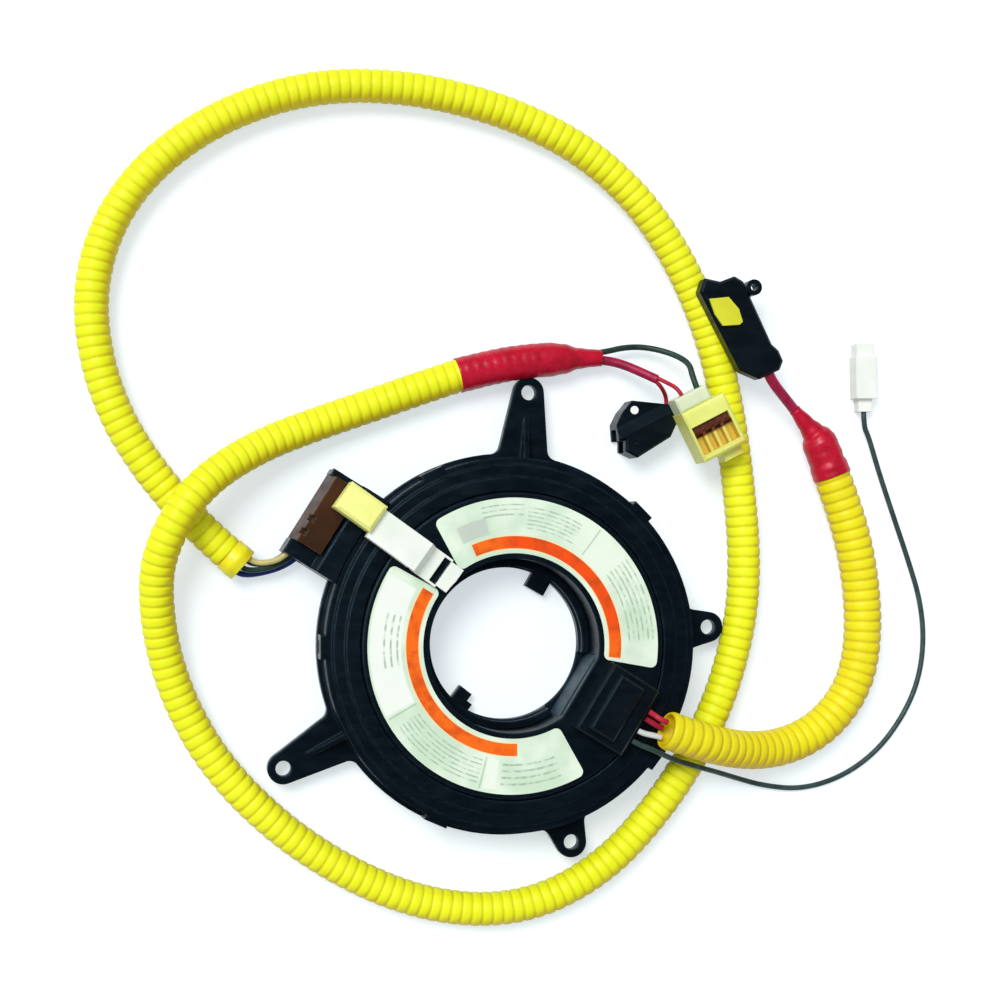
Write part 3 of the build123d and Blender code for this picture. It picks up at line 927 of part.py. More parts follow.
# ---- yellow connector at the end of the lead: block, contact bar, rear cover ------------------------
multi_rear_face = MULTI_SIZE[1] / 2 + MULTI_REAR[1]
multi_wire_height = sum(MULTI_REAR_HEIGHTS) / 2
with BuildPart() as multi_connector:
    with BuildSketch(facing(MULTI_ANGLE, MULTI_HEIGHTS[0], 0, MULTI_PLACE)):
        Rectangle(*MULTI_SIZE)
    extrude(amount=MULTI_HEIGHTS[1] - MULTI_HEIGHTS[0])
    chamfer(multi_connector.faces().sort_by(Axis.Z)[-1].edges(), MULTI_EDGE)
    with BuildSketch(facing(MULTI_ANGLE, MULTI_HEIGHTS[1] - MULTI_RECESS[2], 0, MULTI_PLACE)):
        with Locations((MULTI_RECESS_SIDE, MULTI_RECESS_MIDDLE)):
            Rectangle(MULTI_RECESS[0], MULTI_RECESS[1])
    extrude(amount=MULTI_RECESS[2], mode=Mode.SUBTRACT)
    # walls between the cells in front of the contact bar
    cell_depth = MULTI_RECESS[1] - CONTACT_BAR_WIDTH
    cell_middle = MULTI_RECESS_MIDDLE - CONTACT_BAR_WIDTH / 2
    with BuildSketch(facing(MULTI_ANGLE, MULTI_HEIGHTS[1] - MULTI_RECESS[2], 0, MULTI_PLACE)):
        for i in range(1, CELL_COUNT):
            with Locations((MULTI_RECESS_SIDE + (i / CELL_COUNT - 0.5) * MULTI_RECESS[0], cell_middle)):
                Rectangle(CELL_WALL, cell_depth)
    extrude(amount=MULTI_RECESS[2] - CELL_DROP)
    with BuildSketch(facing(MULTI_ANGLE, MULTI_HEIGHTS[0], 0, MULTI_PLACE)):
        with Locations((MULTI_LATCH_SIDE, -MULTI_SIZE[1] / 2 - MULTI_LATCH[1] / 2 + 0.5)):
            Rectangle(MULTI_LATCH[0], MULTI_LATCH[1] + 1)
    extrude(amount=(MULTI_HEIGHTS[1] - MULTI_HEIGHTS[0]) * 0.6)
finish(multi_connector, "multi_connector")

with BuildPart() as contact_bar:
    bar_middle = MULTI_RECESS_MIDDLE + (MULTI_RECESS[1] - CONTACT_BAR_WIDTH) / 2
    with BuildSketch(facing(MULTI_ANGLE, MULTI_HEIGHTS[1] - MULTI_RECESS[2], 0, MULTI_PLACE)):
        with Locations((MULTI_RECESS_SIDE, bar_middle)):
            Rectangle(MULTI_RECESS[0], CONTACT_BAR_WIDTH)
    extrude(amount=MULTI_RECESS[2] - 2 * CONTACT_BAR_DROP)
    with BuildSketch(facing(MULTI_ANGLE, MULTI_HEIGHTS[1] - 2 * CONTACT_BAR_DROP, 0, MULTI_PLACE)):
        for i in range(CONTACT_STUDS):
            stud_step = ((i + 0.5) / CONTACT_STUDS - 0.5) * MULTI_RECESS[0]
            with Locations((MULTI_RECESS_SIDE + stud_step, bar_middle)):
                Rectangle(CONTACT_BAR_WIDTH / 2, CONTACT_BAR_WIDTH / 2)
    extrude(amount=CONTACT_BAR_DROP)
finish(contact_bar, "contact_bar")

with BuildPart() as multi_rear_cover:
    with BuildSketch(facing(MULTI_ANGLE, MULTI_REAR_HEIGHTS[0], 0, MULTI_PLACE)):
        with Locations((MULTI_REAR_SIDE, MULTI_SIZE[1] / 2 + MULTI_REAR[1] / 2)):
            Rectangle(*MULTI_REAR)
    extrude(amount=MULTI_REAR_HEIGHTS[1] - MULTI_REAR_HEIGHTS[0])
    chamfer(multi_rear_cover.faces().sort_by(Axis.Z)[-1].edges(), MULTI_EDGE)
finish(multi_rear_cover, "multi_rear_cover")

# ---- black two-way connector under the yellow one's end --------------------------------------------
two_way_length = max(x for x, y in TWO_WAY_OUTLINE) - min(x for x, y in TWO_WAY_OUTLINE)
with BuildPart() as two_way_connector:
    with BuildSketch():
        with BuildLine():
            Polyline(*TWO_WAY_OUTLINE, close=True)
        make_face()
    extrude(amount=TWO_WAY_HEIGHT)
    chamfer(two_way_connector.faces().sort_by(Axis.Z)[-1].edges(), TWO_WAY_EDGE)
    # stepped-down side of the top, with a ramp along it
    with BuildSketch(crosswise(TWO_WAY_ANGLE, 0, TWO_WAY_PLACE)):
        with BuildLine():
            Polyline((TWO_WAY_RAMP[0], TWO_WAY_HEIGHT + 1), (TWO_WAY_RAMP[0], TWO_WAY_HEIGHT),
                     (TWO_WAY_RAMP[1], TWO_WAY_LEDGE), (two_way_length, TWO_WAY_LEDGE),
                     (two_way_length, TWO_WAY_HEIGHT + 1), close=True)
        make_face()
    extrude(amount=two_way_length, both=True, mode=Mode.SUBTRACT)
    # mouth toward the lower left
    with BuildSketch(crosswise(TWO_WAY_ANGLE, -two_way_length, TWO_WAY_PLACE)):
        with Locations((-0.6, TWO_WAY_LEDGE / 2)):
            Rectangle(TWO_WAY_MOUTH[1], TWO_WAY_MOUTH[2])
    extrude(amount=two_way_length - TWO_WAY_MOUTH[0] / 2, mode=Mode.SUBTRACT)
    with BuildSketch(Plane.XY.offset(TWO_WAY_LEDGE - 1)):
        with Locations(TWO_WAY_SEAL_PLACE):
            Circle(TWO_WAY_SEAL_RADIUS)
    extrude(amount=1, mode=Mode.SUBTRACT)
    with BuildSketch(Plane.XY.offset(TWO_WAY_HEIGHT - 0.5)):
        with Locations(TWO_WAY_PIP_PLACE):
            Circle(TWO_WAY_PIP_RADIUS)
    extrude(amount=0.9)
finish(two_way_connector, "two_way_connector")

with BuildPart() as two_way_seal:
    with BuildSketch(Plane.XY.offset(TWO_WAY_LEDGE - 1)):
        with Locations(TWO_WAY_SEAL_PLACE):
            Circle(TWO_WAY_SEAL_RADIUS)
    extrude(amount=1.4)
finish(two_way_seal, "two_way_seal")

# ---- thin wires from the lead to the two connectors, and the separate green wire -------------------
thin_start = beside(LEAD_A[-2], LEAD_A[-1], 0.7, 0)
rear_spot = spot(MULTI_ANGLE, MULTI_WIRE_SIDE, multi_rear_face, multi_wire_height, MULTI_PLACE)
rear_lead_in = spot(MULTI_ANGLE, MULTI_WIRE_SIDE, multi_rear_face + LEAD_IN, multi_wire_height, MULTI_PLACE)
with BuildPart() as lead_wire_long:
    route = (thin_start, beside(LEAD_A[-2], LEAD_A[-1], 0.7, 0, LEAD_IN), rear_lead_in, rear_spot)
    checks.append((lead_wire_long, cord("lead_wire_long", route, THIN_WIRE_DIAMETER)))
finish(lead_wire_long, "lead_wire_long")

with BuildPart() as lead_wire_short:
    short_start = beside(LEAD_A[-2], LEAD_A[-1], -0.7, 0)
    edge_start, edge_end = Vector(*TWO_WAY_OUTLINE[0]), Vector(*TWO_WAY_OUTLINE[1])
    edge_spot = edge_start + (edge_end - edge_start) * TWO_WAY_WIRE_ALONG + Vector(0, 0, TWO_WAY_WIRE_HEIGHT)
    outward = Vector(0, 0, 1).cross(edge_end - edge_start).normalized()
    short_lead_in = beside(LEAD_A[-2], LEAD_A[-1], -0.7, 0, LEAD_IN * 0.7)
    route = (short_start, short_lead_in, tuple(edge_spot + outward * LEAD_IN), tuple(edge_spot))
    checks.append((lead_wire_short, cord("lead_wire_short", route, THIN_WIRE_DIAMETER)))
finish(lead_wire_short, "lead_wire_short")

with BuildPart() as ground_wire:
    green_start = beside(SLEEVE_A[-1], SLEEVE_A_NOSE, GREEN_WIRE_SIDE, 0)
    green_way_out = beside(SLEEVE_A[-1], SLEEVE_A_NOSE, GREEN_WIRE_SIDE, 0, LEAD_IN)
    green_turn = multi_rear_face + 1.6 * LEAD_IN
    green_lead_in = spot(MULTI_ANGLE, MULTI_GROUND_SIDE, green_turn, multi_wire_height, MULTI_PLACE)
    green_end = spot(MULTI_ANGLE, MULTI_GROUND_SIDE, multi_rear_face, multi_wire_height, MULTI_PLACE)
    route = (green_start, green_way_out, *GREEN_WIRE, green_lead_in, green_end)
    checks.append((ground_wire, cord("ground_wire", route, GREEN_WIRE_DIAMETER)))
finish(ground_wire, "ground_wire")

# ---- wires of the column plug -----------------------------------------------------------------------
plug_side = socket_cavity_sides[1] - PLUG_SIDE_GAP
for wire_name, (reach, height, side, up) in PLUG_WIRES.items():
    label = "plug_wire_" + wire_name
    conduit_end = beside(CONDUIT_A[0], collar_start, side, up)
    conduit_lead_in = beside(CONDUIT_A[0], collar_start, side, up, BUNDLE_STRAIGHT)
    plug_end = spot(SOCKET_ANGLE, SOCKET_OUTER + reach, plug_side, height)
    plug_lead_in = spot(SOCKET_ANGLE, SOCKET_OUTER + reach, SOCKET_SIDES[1] + LEAD_IN / 2, height)
    with BuildPart() as plug_wire:
        route = (plug_end, plug_lead_in, conduit_lead_in, conduit_end)
        checks.append((plug_wire, cord(label, route, BUNDLE_WIRE_DIAMETER)))
    finish(plug_wire, label)

# ---- pigtail from the rotor plug: wires, conduit, sleeve, lead and squib connector -----------------
for wire_name, (step, rise, side, up) in ROTOR_WIRES.items():
    label = "rotor_wire_" + wire_name
    conduit_end = beside(CONDUIT_B[1], CONDUIT_B[0], side, up)
    conduit_lead_in = beside(CONDUIT_B[1], CONDUIT_B[0], side, up, BUNDLE_STRAIGHT * 0.7)
    plug_end = spot(SHROUD_ANGLE, ROTOR_PLUG_END, step, ROTOR_WIRE_HEIGHT + rise)
    plug_lead_in = spot(SHROUD_ANGLE, ROTOR_PLUG_END + BUNDLE_STRAIGHT * 0.7, step, ROTOR_WIRE_HEIGHT + rise)
    with BuildPart() as rotor_wire:
        route = (plug_end, plug_lead_in, conduit_lead_in, conduit_end)
        checks.append((rotor_wire, cord(label, route, BUNDLE_WIRE_DIAMETER)))
    finish(rotor_wire, label)

with BuildPart() as airbag_conduit:
    checks.append((airbag_conduit, cord("airbag_conduit", CONDUIT_B, CONDUIT_B_DIAMETER)))
finish(airbag_conduit, "airbag_conduit")

with BuildPart() as squib_sleeve:
    sleeve("squib_sleeve", sleeve_b_route, SLEEVE_B_DIAMETER, SLEEVE_B_NOSE)
finish(squib_sleeve, "squib_sleeve")

with BuildPart() as squib_lead:
    squib_end = spot(SQUIB_ANGLE, *SQUIB_LEAD_PLACE, SQUIB_PLACE)
    squib_lead_in = spot(SQUIB_ANGLE, SQUIB_LEAD_PLACE[0] - LEAD_IN, *SQUIB_LEAD_PLACE[1:], SQUIB_PLACE)
    squib_way_out = beside(sleeve_b_route[-1], SLEEVE_B_NOSE, 0, 0, LEAD_IN)
    route = (SLEEVE_B_NOSE, squib_way_out, *LEAD_B, squib_lead_in, squib_end)
    checks.append((squib_lead, cord("squib_lead", route, LEAD_B_DIAMETER)))
finish(squib_lead, "squib_lead")

with BuildPart() as squib_connector:
    with BuildSketch(facing(SQUIB_ANGLE, SQUIB_HEIGHTS[0], 0, SQUIB_PLACE)) as squib_outline:
        with BuildLine():
            Polyline(*SQUIB_OUTLINE, close=True)
        make_face()
        fillet(squib_outline.vertices(), SQUIB_CORNER)
    extrude(amount=SQUIB_HEIGHTS[1] - SQUIB_HEIGHTS[0])
    chamfer(squib_connector.faces().sort_by(Axis.Z)[-1].edges(), SQUIB_EDGE)
    with BuildSketch(facing(SQUIB_ANGLE, SQUIB_HEIGHTS[0], 0, SQUIB_PLACE)):
        with Locations(SQUIB_RING_PLACE):
            Circle(SQUIB_RING_RADII[1])
    extrude(amount=SQUIB_HEIGHTS[1] - SQUIB_HEIGHTS[0])
    with BuildSketch(facing(SQUIB_ANGLE, 0, 0, SQUIB_PLACE)):
        with Locations(SQUIB_NOSE_PLACE):
            Circle(SQUIB_NOSE_RADIUS)
    extrude(amount=SQUIB_HEIGHTS[0])
    with BuildSketch(facing(SQUIB_ANGLE, 0, 0, SQUIB_PLACE)):
        with Locations(SQUIB_NOSE_PLACE):
            Circle(SQUIB_SOCKET_RADIUS)
    extrude(amount=SQUIB_SOCKET_DEPTH, mode=Mode.SUBTRACT)
    with BuildSketch(facing(SQUIB_ANGLE, SQUIB_HEIGHTS[0], 0, SQUIB_PLACE)):
        with Locations(SQUIB_RING_PLACE):
            Circle(SQUIB_RING_RADII[0])
    extrude(amount=SQUIB_HEIGHTS[1] - SQUIB_HEIGHTS[0], mode=Mode.SUBTRACT)
    with BuildSketch(facing(SQUIB_ANGLE, SQUIB_LOCK_BOTTOM, 0, SQUIB_PLACE)):
        with BuildLine():
            Polyline(*SQUIB_LOCK_OUTLINE, close=True)
        make_face()
        offset(amount=LOCK_STEM_GAP - SQUIB_LOCK_WALL, kind=Kind.INTERSECTION)
    extrude(amount=SQUIB_HEIGHTS[1] - SQUIB_LOCK_BOTTOM, mode=Mode.SUBTRACT)
finish(squib_connector, "squib_connector")

# ---- squib connector's lock: a broad head on a stem that slides up out of its pocket ---------------
with BuildPart() as squib_lock:
    with BuildSketch(facing(SQUIB_ANGLE, SQUIB_HEIGHTS[1], 0, SQUIB_PLACE)):
        with BuildLine():
            Polyline(*SQUIB_LOCK_OUTLINE, close=True)
        make_face()
    extrude(amount=SQUIB_LOCK_TOP - SQUIB_HEIGHTS[1])
    with BuildSketch(facing(SQUIB_ANGLE, SQUIB_LOCK_BOTTOM, 0, SQUIB_PLACE)):
        with BuildLine():
            Polyline(*SQUIB_LOCK_OUTLINE, close=True)
        make_face()
        offset(amount=-SQUIB_LOCK_WALL, kind=Kind.INTERSECTION)
    extrude(amount=SQUIB_HEIGHTS[1] - SQUIB_LOCK_BOTTOM)
finish(squib_lock, "squib_lock")

# ---- horn wire and its white connector --------------------------------------------------------------
with BuildPart() as horn_wire:
    horn_start = spot(SHROUD_ANGLE, ROTOR_PLUG_END, HORN_WIRE_SIDE, ROTOR_WIRE_HEIGHT)
    horn_end_height = HORN_PLUG_HEIGHTS[0] / 2 + 0.5
    horn_way_out = spot(SHROUD_ANGLE, ROTOR_PLUG_END + LEAD_IN, HORN_WIRE_SIDE, ROTOR_WIRE_HEIGHT)
    horn_end = (*HORN_PLUG_PLACE, horn_end_height)
    horn_lead_in = spot(HORN_PLUG_ANGLE, -2 * LEAD_IN, 0, horn_end_height, HORN_PLUG_PLACE)
    route = (horn_start, horn_way_out, *HORN_WIRE, horn_lead_in, horn_end)
    checks.append((horn_wire, cord("horn_wire", route, HORN_WIRE_DIAMETER)))
finish(horn_wire, "horn_wire")

with BuildPart() as horn_connector:
    reached = 0.0
    for length, width, height in zip(HORN_PLUG_LENGTHS, HORN_PLUG_WIDTHS, HORN_PLUG_HEIGHTS):
        with BuildSketch(facing(HORN_PLUG_ANGLE, 0, 0, HORN_PLUG_PLACE)):
            with Locations((reached + length / 2, 0)):
                Rectangle(length, width)
        extrude(amount=height)
        reached += length
    with BuildSketch(crosswise(HORN_PLUG_ANGLE, reached, HORN_PLUG_PLACE)):
        with Locations((0, HORN_PLUG_HEIGHTS[-1] / 2)):
            Rectangle(HORN_PLUG_SLOT[1], HORN_PLUG_SLOT[2])
    extrude(amount=-5.0, mode=Mode.SUBTRACT)
finish(horn_connector, "horn_connector")

for builder, expected in checks:
    print(builder.part.label, "volume", round(builder.part.volume, 1), "section x length", round(expected, 1))
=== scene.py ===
import math

import bmesh
import bpy
from mathutils import Matrix, Vector, noise


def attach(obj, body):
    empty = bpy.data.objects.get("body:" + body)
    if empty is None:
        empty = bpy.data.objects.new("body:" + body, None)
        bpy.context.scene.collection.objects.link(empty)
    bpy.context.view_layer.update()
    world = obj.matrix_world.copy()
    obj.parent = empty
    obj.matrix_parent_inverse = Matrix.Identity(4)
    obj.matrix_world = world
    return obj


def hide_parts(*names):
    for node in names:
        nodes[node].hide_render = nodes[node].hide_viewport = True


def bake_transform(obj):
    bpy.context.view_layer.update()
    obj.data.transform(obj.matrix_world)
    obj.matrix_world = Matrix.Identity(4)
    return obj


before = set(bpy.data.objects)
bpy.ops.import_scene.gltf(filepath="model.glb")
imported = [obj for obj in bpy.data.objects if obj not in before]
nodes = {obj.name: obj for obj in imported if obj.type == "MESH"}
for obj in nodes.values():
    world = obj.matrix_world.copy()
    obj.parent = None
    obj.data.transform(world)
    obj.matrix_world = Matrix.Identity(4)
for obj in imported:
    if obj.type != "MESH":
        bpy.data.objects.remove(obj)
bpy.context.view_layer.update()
MM = 0.001

# ---- routes of the cords --------------------------------------------------------------------------
# Control points in millimetres. Most repeat those of the CAD tubes. The long sleeve, its lead and the green
# wire stray from them by up to 3 mm, and the short sleeve reaches 7 mm further along its lead.
CONDUIT_A = (
    (-82.0, 27.0, 5.3), (-89.0, 33.0, 5.1), (-97.2, 42.2, 5.0), (-105.4, 52.2, 5.0), (-113.5, 65.2, 5.0),
    (-119.4, 81.0, 5.0), (-121.8, 100.0, 5.0), (-117.6, 119.6, 5.0), (-107.0, 136.3, 5.0),
    (-91.5, 149.6, 5.0), (-73.0, 159.0, 5.0), (-52.8, 164.2, 5.0), (-32.0, 164.7, 5.0),
    (-13.3, 162.0, 5.0), (4.8, 157.0, 5.0), (24.0, 148.0, 5.0), (40.0, 134.8, 5.0), (51.8, 119.0, 5.0),
    (60.2, 102.4, 5.0), (66.3, 84.2, 5.0), (70.3, 64.0, 5.0), (73.0, 43.0, 5.0), (74.4, 24.5, 5.0),
    (73.2, 6.0, 5.0), (67.2, -15.6, 5.0), (58.6, -33.2, 5.0), (47.6, -49.2, 5.0), (32.2, -65.6, 5.0),
    (13.8, -76.0, 5.0), (-5.2, -79.2, 5.0), (-26.4, -75.8, 5.0), (-47.4, -66.6, 5.0),
    (-67.8, -52.6, 5.0), (-85.2, -34.6, 5.0), (-95.8, -16.0, 5.2), (-101.4, 1.6, 7.2),
    (-103.3, 19.9, 12.2), (-100.4, 31.2, 16.0), (-94.7, 41.4, 16.6), (-86.6, 49.9, 14.0),
    (-73.0, 58.2, 9.0), (-58.0, 64.2, 5.9), (-42.0, 69.8, 5.2), (-25.4, 75.8, 5.3), (-12.4, 80.2, 5.4),
)
CONDUIT_B = (
    (44.3, -24.8, 22.5), (52.5, -27.6, 21.6), (61.0, -30.2, 18.4), (70.0, -32.2, 13.6),
    (79.6, -32.9, 9.4), (88.9, -31.4, 6.9), (97.4, -27.5, 5.9), (104.2, -21.3, 5.8),
    (109.1, -13.5, 5.8), (111.7, -4.4, 5.8), (112.3, 7.5, 5.8), (111.2, 20.0, 5.8),
    (108.6, 32.6, 5.8), (104.8, 44.0, 5.8), (101.6, 52.2, 5.8),
)
HORN_WIRE = (
    (34.28, -27.79, 20.4), (36.32, -29.06, 20.4), (41.0, -30.8, 19.6), (47.6, -34.0, 17.8),
    (55.2, -36.5, 14.6), (63.6, -39.0, 9.8), (72.0, -41.8, 4.6), (81.2, -44.6, 1.5), (93.6, -46.2, 0.9),
    (107.0, -42.8, 0.85), (118.8, -35.0, 0.9), (127.4, -24.3, 0.85), (132.6, -13.2, 0.9),
    (134.5, -0.7, 0.85), (133.2, 12.0, 0.9), (129.2, 24.6, 0.85), (124.2, 38.6, 0.9),
    (119.4, 52.4, 0.9), (115.9, 63.0, 1.7), (114.08, 65.6, 2.5), (114.0, 70.4, 2.5),
)
GROUND_WIRE = (
    (28.6, 87.1, 5.2), (31.2, 87.5, 5.1), (35.8, 88.7, 4.4), (41.2, 89.2, 4.0), (46.8, 88.4, 5.2),
    (51.8, 86.4, 8.4), (54.8, 83.6, 12.2), (54.8, 79.8, 14.9), (56.17, 76.19, 15.1),
)
TAPE_COLLAR = ((-77.83, 23.42, 5.42), (-79.9, 25.2, 5.36), (-82.0, 27.0, 5.3))
COLUMN_SLEEVE = (
    (-14.6, 79.46, 5.44), (-1.8, 82.9, 5.5), (9.6, 84.5, 5.45), (21.0, 85.2, 5.4), (29.2, 85.5, 5.2),
)
SQUIB_SLEEVE = (
    (102.3, 50.4, 6.04), (101.6, 52.2, 6.04), (97.96, 61.51, 6.0), (94.0, 65.8, 6.6), (89.4, 70.4, 8.2),
)
# short wires by node: diameter, material, points
SHORT_WIRES = {
    "column_lead": (2.8, "sheath", (
        (28.6, 84.8, 5.2), (31.4, 84.7, 5.16), (36.2, 83.4, 6.2), (41.0, 81.2, 7.8), (45.4, 78.9, 9.8))),
    "lead_wire_long": (1.3, "red", (
        (45.2, 79.5, 9.7), (47.4, 78.3, 10.64), (50.36, 75.92, 15.1), (51.45, 73.78, 15.1))),
    "lead_wire_short": (1.3, "red", (
        (44.6, 78.6, 9.5), (46.2, 77.6, 9.6), (49.8, 73.98, 5.0), (49.59, 71.59, 5.0))),
    "squib_lead": (3.2, "sheath", (
        (94.0, 65.6, 6.4), (92.34, 67.31, 6.65), (88.3, 71.4, 8.6), (84.6, 74.7, 10.8),
        (80.54, 78.57, 12.9), (79.53, 80.74, 12.9))),
    "plug_wire_cream": (1.7, "cream", (
        (-62.61, 30.39, 8.2), (-65.68, 25.48, 8.2), (-74.19, 23.73, 7.48), (-76.17, 25.42, 7.42))),
    "plug_wire_black": (1.7, "black_wire", (
        (-62.61, 30.39, 4.4), (-65.68, 25.48, 4.4), (-74.52, 23.22, 3.68), (-76.49, 24.91, 3.62))),
    "plug_wire_green": (1.7, "green", (
        (-61.08, 29.44, 5.6), (-64.15, 24.52, 5.6), (-76.26, 21.29, 6.68), (-78.24, 22.98, 6.62))),
    "plug_wire_blue": (1.7, "blue", (
        (-59.81, 28.65, 4.2), (-62.88, 23.73, 4.2), (-77.39, 19.89, 4.08), (-79.36, 21.58, 4.02))),
    "rotor_wire_red": (1.7, "red", (
        (39.48, -19.48, 20.9), (41.02, -20.44, 20.9), (43.24, -22.11, 22.09), (44.95, -22.7, 21.9))),
    "rotor_wire_crimson": (1.7, "crimson", (
        (38.31, -21.34, 19.7), (39.85, -22.31, 19.7), (42.38, -23.93, 19.9), (44.09, -24.52, 19.71))),
    "rotor_wire_white": (1.7, "white_wire", (
        (36.08, -24.91, 20.6), (37.63, -25.87, 20.6), (41.57, -26.62, 20.9), (43.28, -27.2, 20.71))),
}

# ---- sizes of the cords, millimetres --------------------------------------------------------------
# outer diameter, pitch of the ribs, depth of the valleys between them, and number of sides
CONDUIT_A_SIZE = (10.0, 3.1, 0.34, 24)
CONDUIT_B_SIZE = (11.5, 3.2, 0.42, 28)
CONDUIT_WALL = 0.6
MOUTH_DEPTH = 6.0  # the bore is open this far at both ends, and closed beyond
MOUTH_LIP = 0.4  # painted shade in the bore: its colour deepens over this length behind the first rim
MOUTH_FLOOR = 0.2  # radius where it closes, as a share of the bore's
# one rib: share of the pitch, and drop from the crest as a share of the depth
RIB_PROFILE = (
    (0.0, 1.0), (0.10, 0.62), (0.20, 0.16), (0.34, 0.02),
    (0.50, 0.0), (0.66, 0.02), (0.80, 0.16), (0.90, 0.62),
)
# shrunk sleeves: share of the length and radius there; then pitch and height of the ribs that show through
# and the share of the length where they fade out
COLUMN_SLEEVE_RADII = (
    (0.0, 5.2), (0.03, 5.26), (0.1, 5.24), (0.64, 5.1), (0.74, 4.5), (0.84, 3.2), (0.93, 2.7), (1.0, 2.5),
)
COLUMN_SLEEVE_RIBS = (2.9, 0.07, 0.62)
SQUIB_SLEEVE_RADII = (
    (0.0, 5.9), (0.04, 5.94), (0.1, 5.9), (0.2, 5.5), (0.46, 5.45), (0.53, 4.9), (0.62, 3.5), (0.76, 2.6),
    (1.0, 1.8),
)
SQUIB_SLEEVE_RIBS = (3.4, 0.06, 0.5)
SLEEVE_RING_STEP = 0.45
SLEEVE_RIBS_FADE = 1 / 8  # share of the length
SLEEVE_SIDES = 28
SLEEVE_DENTS = 0.014  # share of the radius
SLEEVE_DENT_SCALE, SLEEVE_CREASE_SCALE = 190.0, 460.0  # waves per metre
# tape collar: distance along it and radius there
TAPE_PROFILE = (
    (0.6, 0.8), (0.6, 4.4), (0.0, 4.6), (0.0, 5.0), (0.2, 5.16), (1.6, 5.14), (1.75, 5.26), (3.4, 5.24),
    (3.5, 5.12), (5.2, 5.14), (5.48, 5.0), (5.48, 4.6),
)
TAPE_DENTS = 0.015  # share of the radius
TAPE_DENT_SCALE = 300.0  # waves per metre
GROUND_RADIUS = 0.9
HORN_RADIUS = 0.8
HORN_RINGS = 220
HORN_SIDES = 14
# points of a smooth line between two control points
LINE_STEPS, WIRE_STEPS, HORN_STEPS = 24, 12, 8
WIRE_ROUNDNESS = 5

# ---- face labels: angles in degrees round the shaft axis, radii in millimetres --------------------
# ruled fields: first and last angle, inner and outer radius, pitch of the rules
RULED_FIELDS = (
    (2.0, 37.0, 34.0, 42.2, 1.45), (60.0, 84.0, 34.0, 41.2, 1.2), (86.0, 104.0, 37.8, 41.4, 1.45),
    (165.0, 189.0, 34.0, 39.6, 1.9), (214.0, 254.0, 33.8, 41.4, 1.3), (264.0, 290.0, 34.0, 41.0, 1.9),
)
# plain fields: first and last angle, inner and outer radius, colour
PLAIN_FIELDS = (
    (103.0, 117.0, 33.2, 38.2, (196, 204, 196)), (36.5, 50.0, 33.4, 42.0, (240, 250, 234)),
    (150.0, 208.0, 33.4, 42.6, (252, 255, 249)), (256.5, 262.0, 33.4, 42.0, (246, 253, 240)),
)
DIVIDERS = (52.6, 209.3, 255.5)
DIVIDER_HALF_WIDTH = 0.35
DIVIDER_RADII = (33.2, 42.4)
ORANGE_BANDS = ((-7.2, 113.6), (147.6, 271.4))
ORANGE_RADII = (28.4, 32.0)
ORANGE_HALO = 0.35
DEEP_ORANGE_FIELD = (5.0, 96.0)
FIRST_ANGLE = -30.0
PAPER, STAINED_PAPER = (236, 250, 230), (210, 232, 206)
RULE_INK, DIVIDER_INK = (146, 172, 150), (150, 174, 150)
ORANGE, DEEP_ORANGE, BLOTTED_ORANGE = (255, 112, 18), (252, 82, 8), (214, 76, 14)
HALO = (255, 232, 176)

# ---- four-way connector: its place and turn, millimetres and degrees -------------------------------
MULTI_PLACE = (60.2, 64.1)
MULTI_ANGLE = 27.0
# coloured places in its own frame, and heights over the table between which a painted shade fades in
CELLS_ALONG = (-6.9, 6.1)
CELLS_ACROSS = (-6.3, 0.6)
CELLS_HEIGHT = (20.15, 18.4)
BAR_ALONG = (-6.7, 5.9)
BAR_ACROSS = (-0.9, 0.7)
BAR_HEIGHT = (20.19, 19.8)
AMBER_ACROSS = (-5.4, -7.6)
AMBER_ALONG = (7.5, 1.0)
SHELL, SHELL_SHADE = (246, 248, 142), (232, 238, 118)
# painted shade: the second colour, low in the cells
CELL, PAINTED_CELL_SHADE = (240, 206, 92), (222, 184, 62)
# painted shade: the first colour, the brown beside the contact bar
PAINTED_BAR_SHADE, AMBER = (112, 56, 18), (250, 192, 78)

# ---- studio: metres and degrees -------------------------------------------------------------------
FLOOR_REACH = 2.5
FLOOR_DROP = 0.00002
FLOOR_COLOUR = (0.62, 0.64, 0.66, 1.0)
FLOOR_GLOW = (0.88, 0.96, 1.0, 1.0)
FLOOR_LIFT = 0.55
FILL_COLOUR = (0.93, 0.97, 1.0, 1.0)
FILL_STRENGTH = 0.5
ROOM_COLOUR = (0.86, 0.95, 1.0, 1.0)
ROOM_STRENGTH, BOX_STRENGTH = 0.1, 1.7
BOX_SIDE = (-0.62, 0.34, 0.7)
BOX_EDGE = (0.76, 0.95)  # cosines of the angle from BOX_SIDE, where the soft box starts and is full
WHITE = (1.0, 1.0, 1.0, 1.0)
KEY_SIDE = (-0.5, 0.5, 1.0)
KEY_STRENGTH = 2.05
KEY_SPREAD = 28.0
KEY_COLOUR = (1.0, 0.995, 0.975)
CAMERA_TARGET = (-0.00075, 0.04275, 0.0)
CAMERA_DISTANCE = 0.6
CAMERA_TILT, CAMERA_PITCH = 11.6, -0.9  # off straight above, towards -X and +Y
CAMERA_LENS, CAMERA_SENSOR = 72.0, 36.0
CAMERA_CLIP_START = 0.01


# ---- materials ------------------------------------------------------------------------------------
NOISE_ROUGHNESS = 0.55
BEVEL_SAMPLES = 4
FLAT, SHARP = 0.995, 0.80  # cosines between a face's normal and its rounded one, away from and on an edge


def linear(red, green, blue):
    """Scene-linear colour of a displayed 8-bit colour."""
    parts = [value / 255 for value in (red, green, blue)]
    return (*[p / 12.92 if p <= 0.04045 else ((p + 0.055) / 1.055) ** 2.4 for p in parts], 1.0)


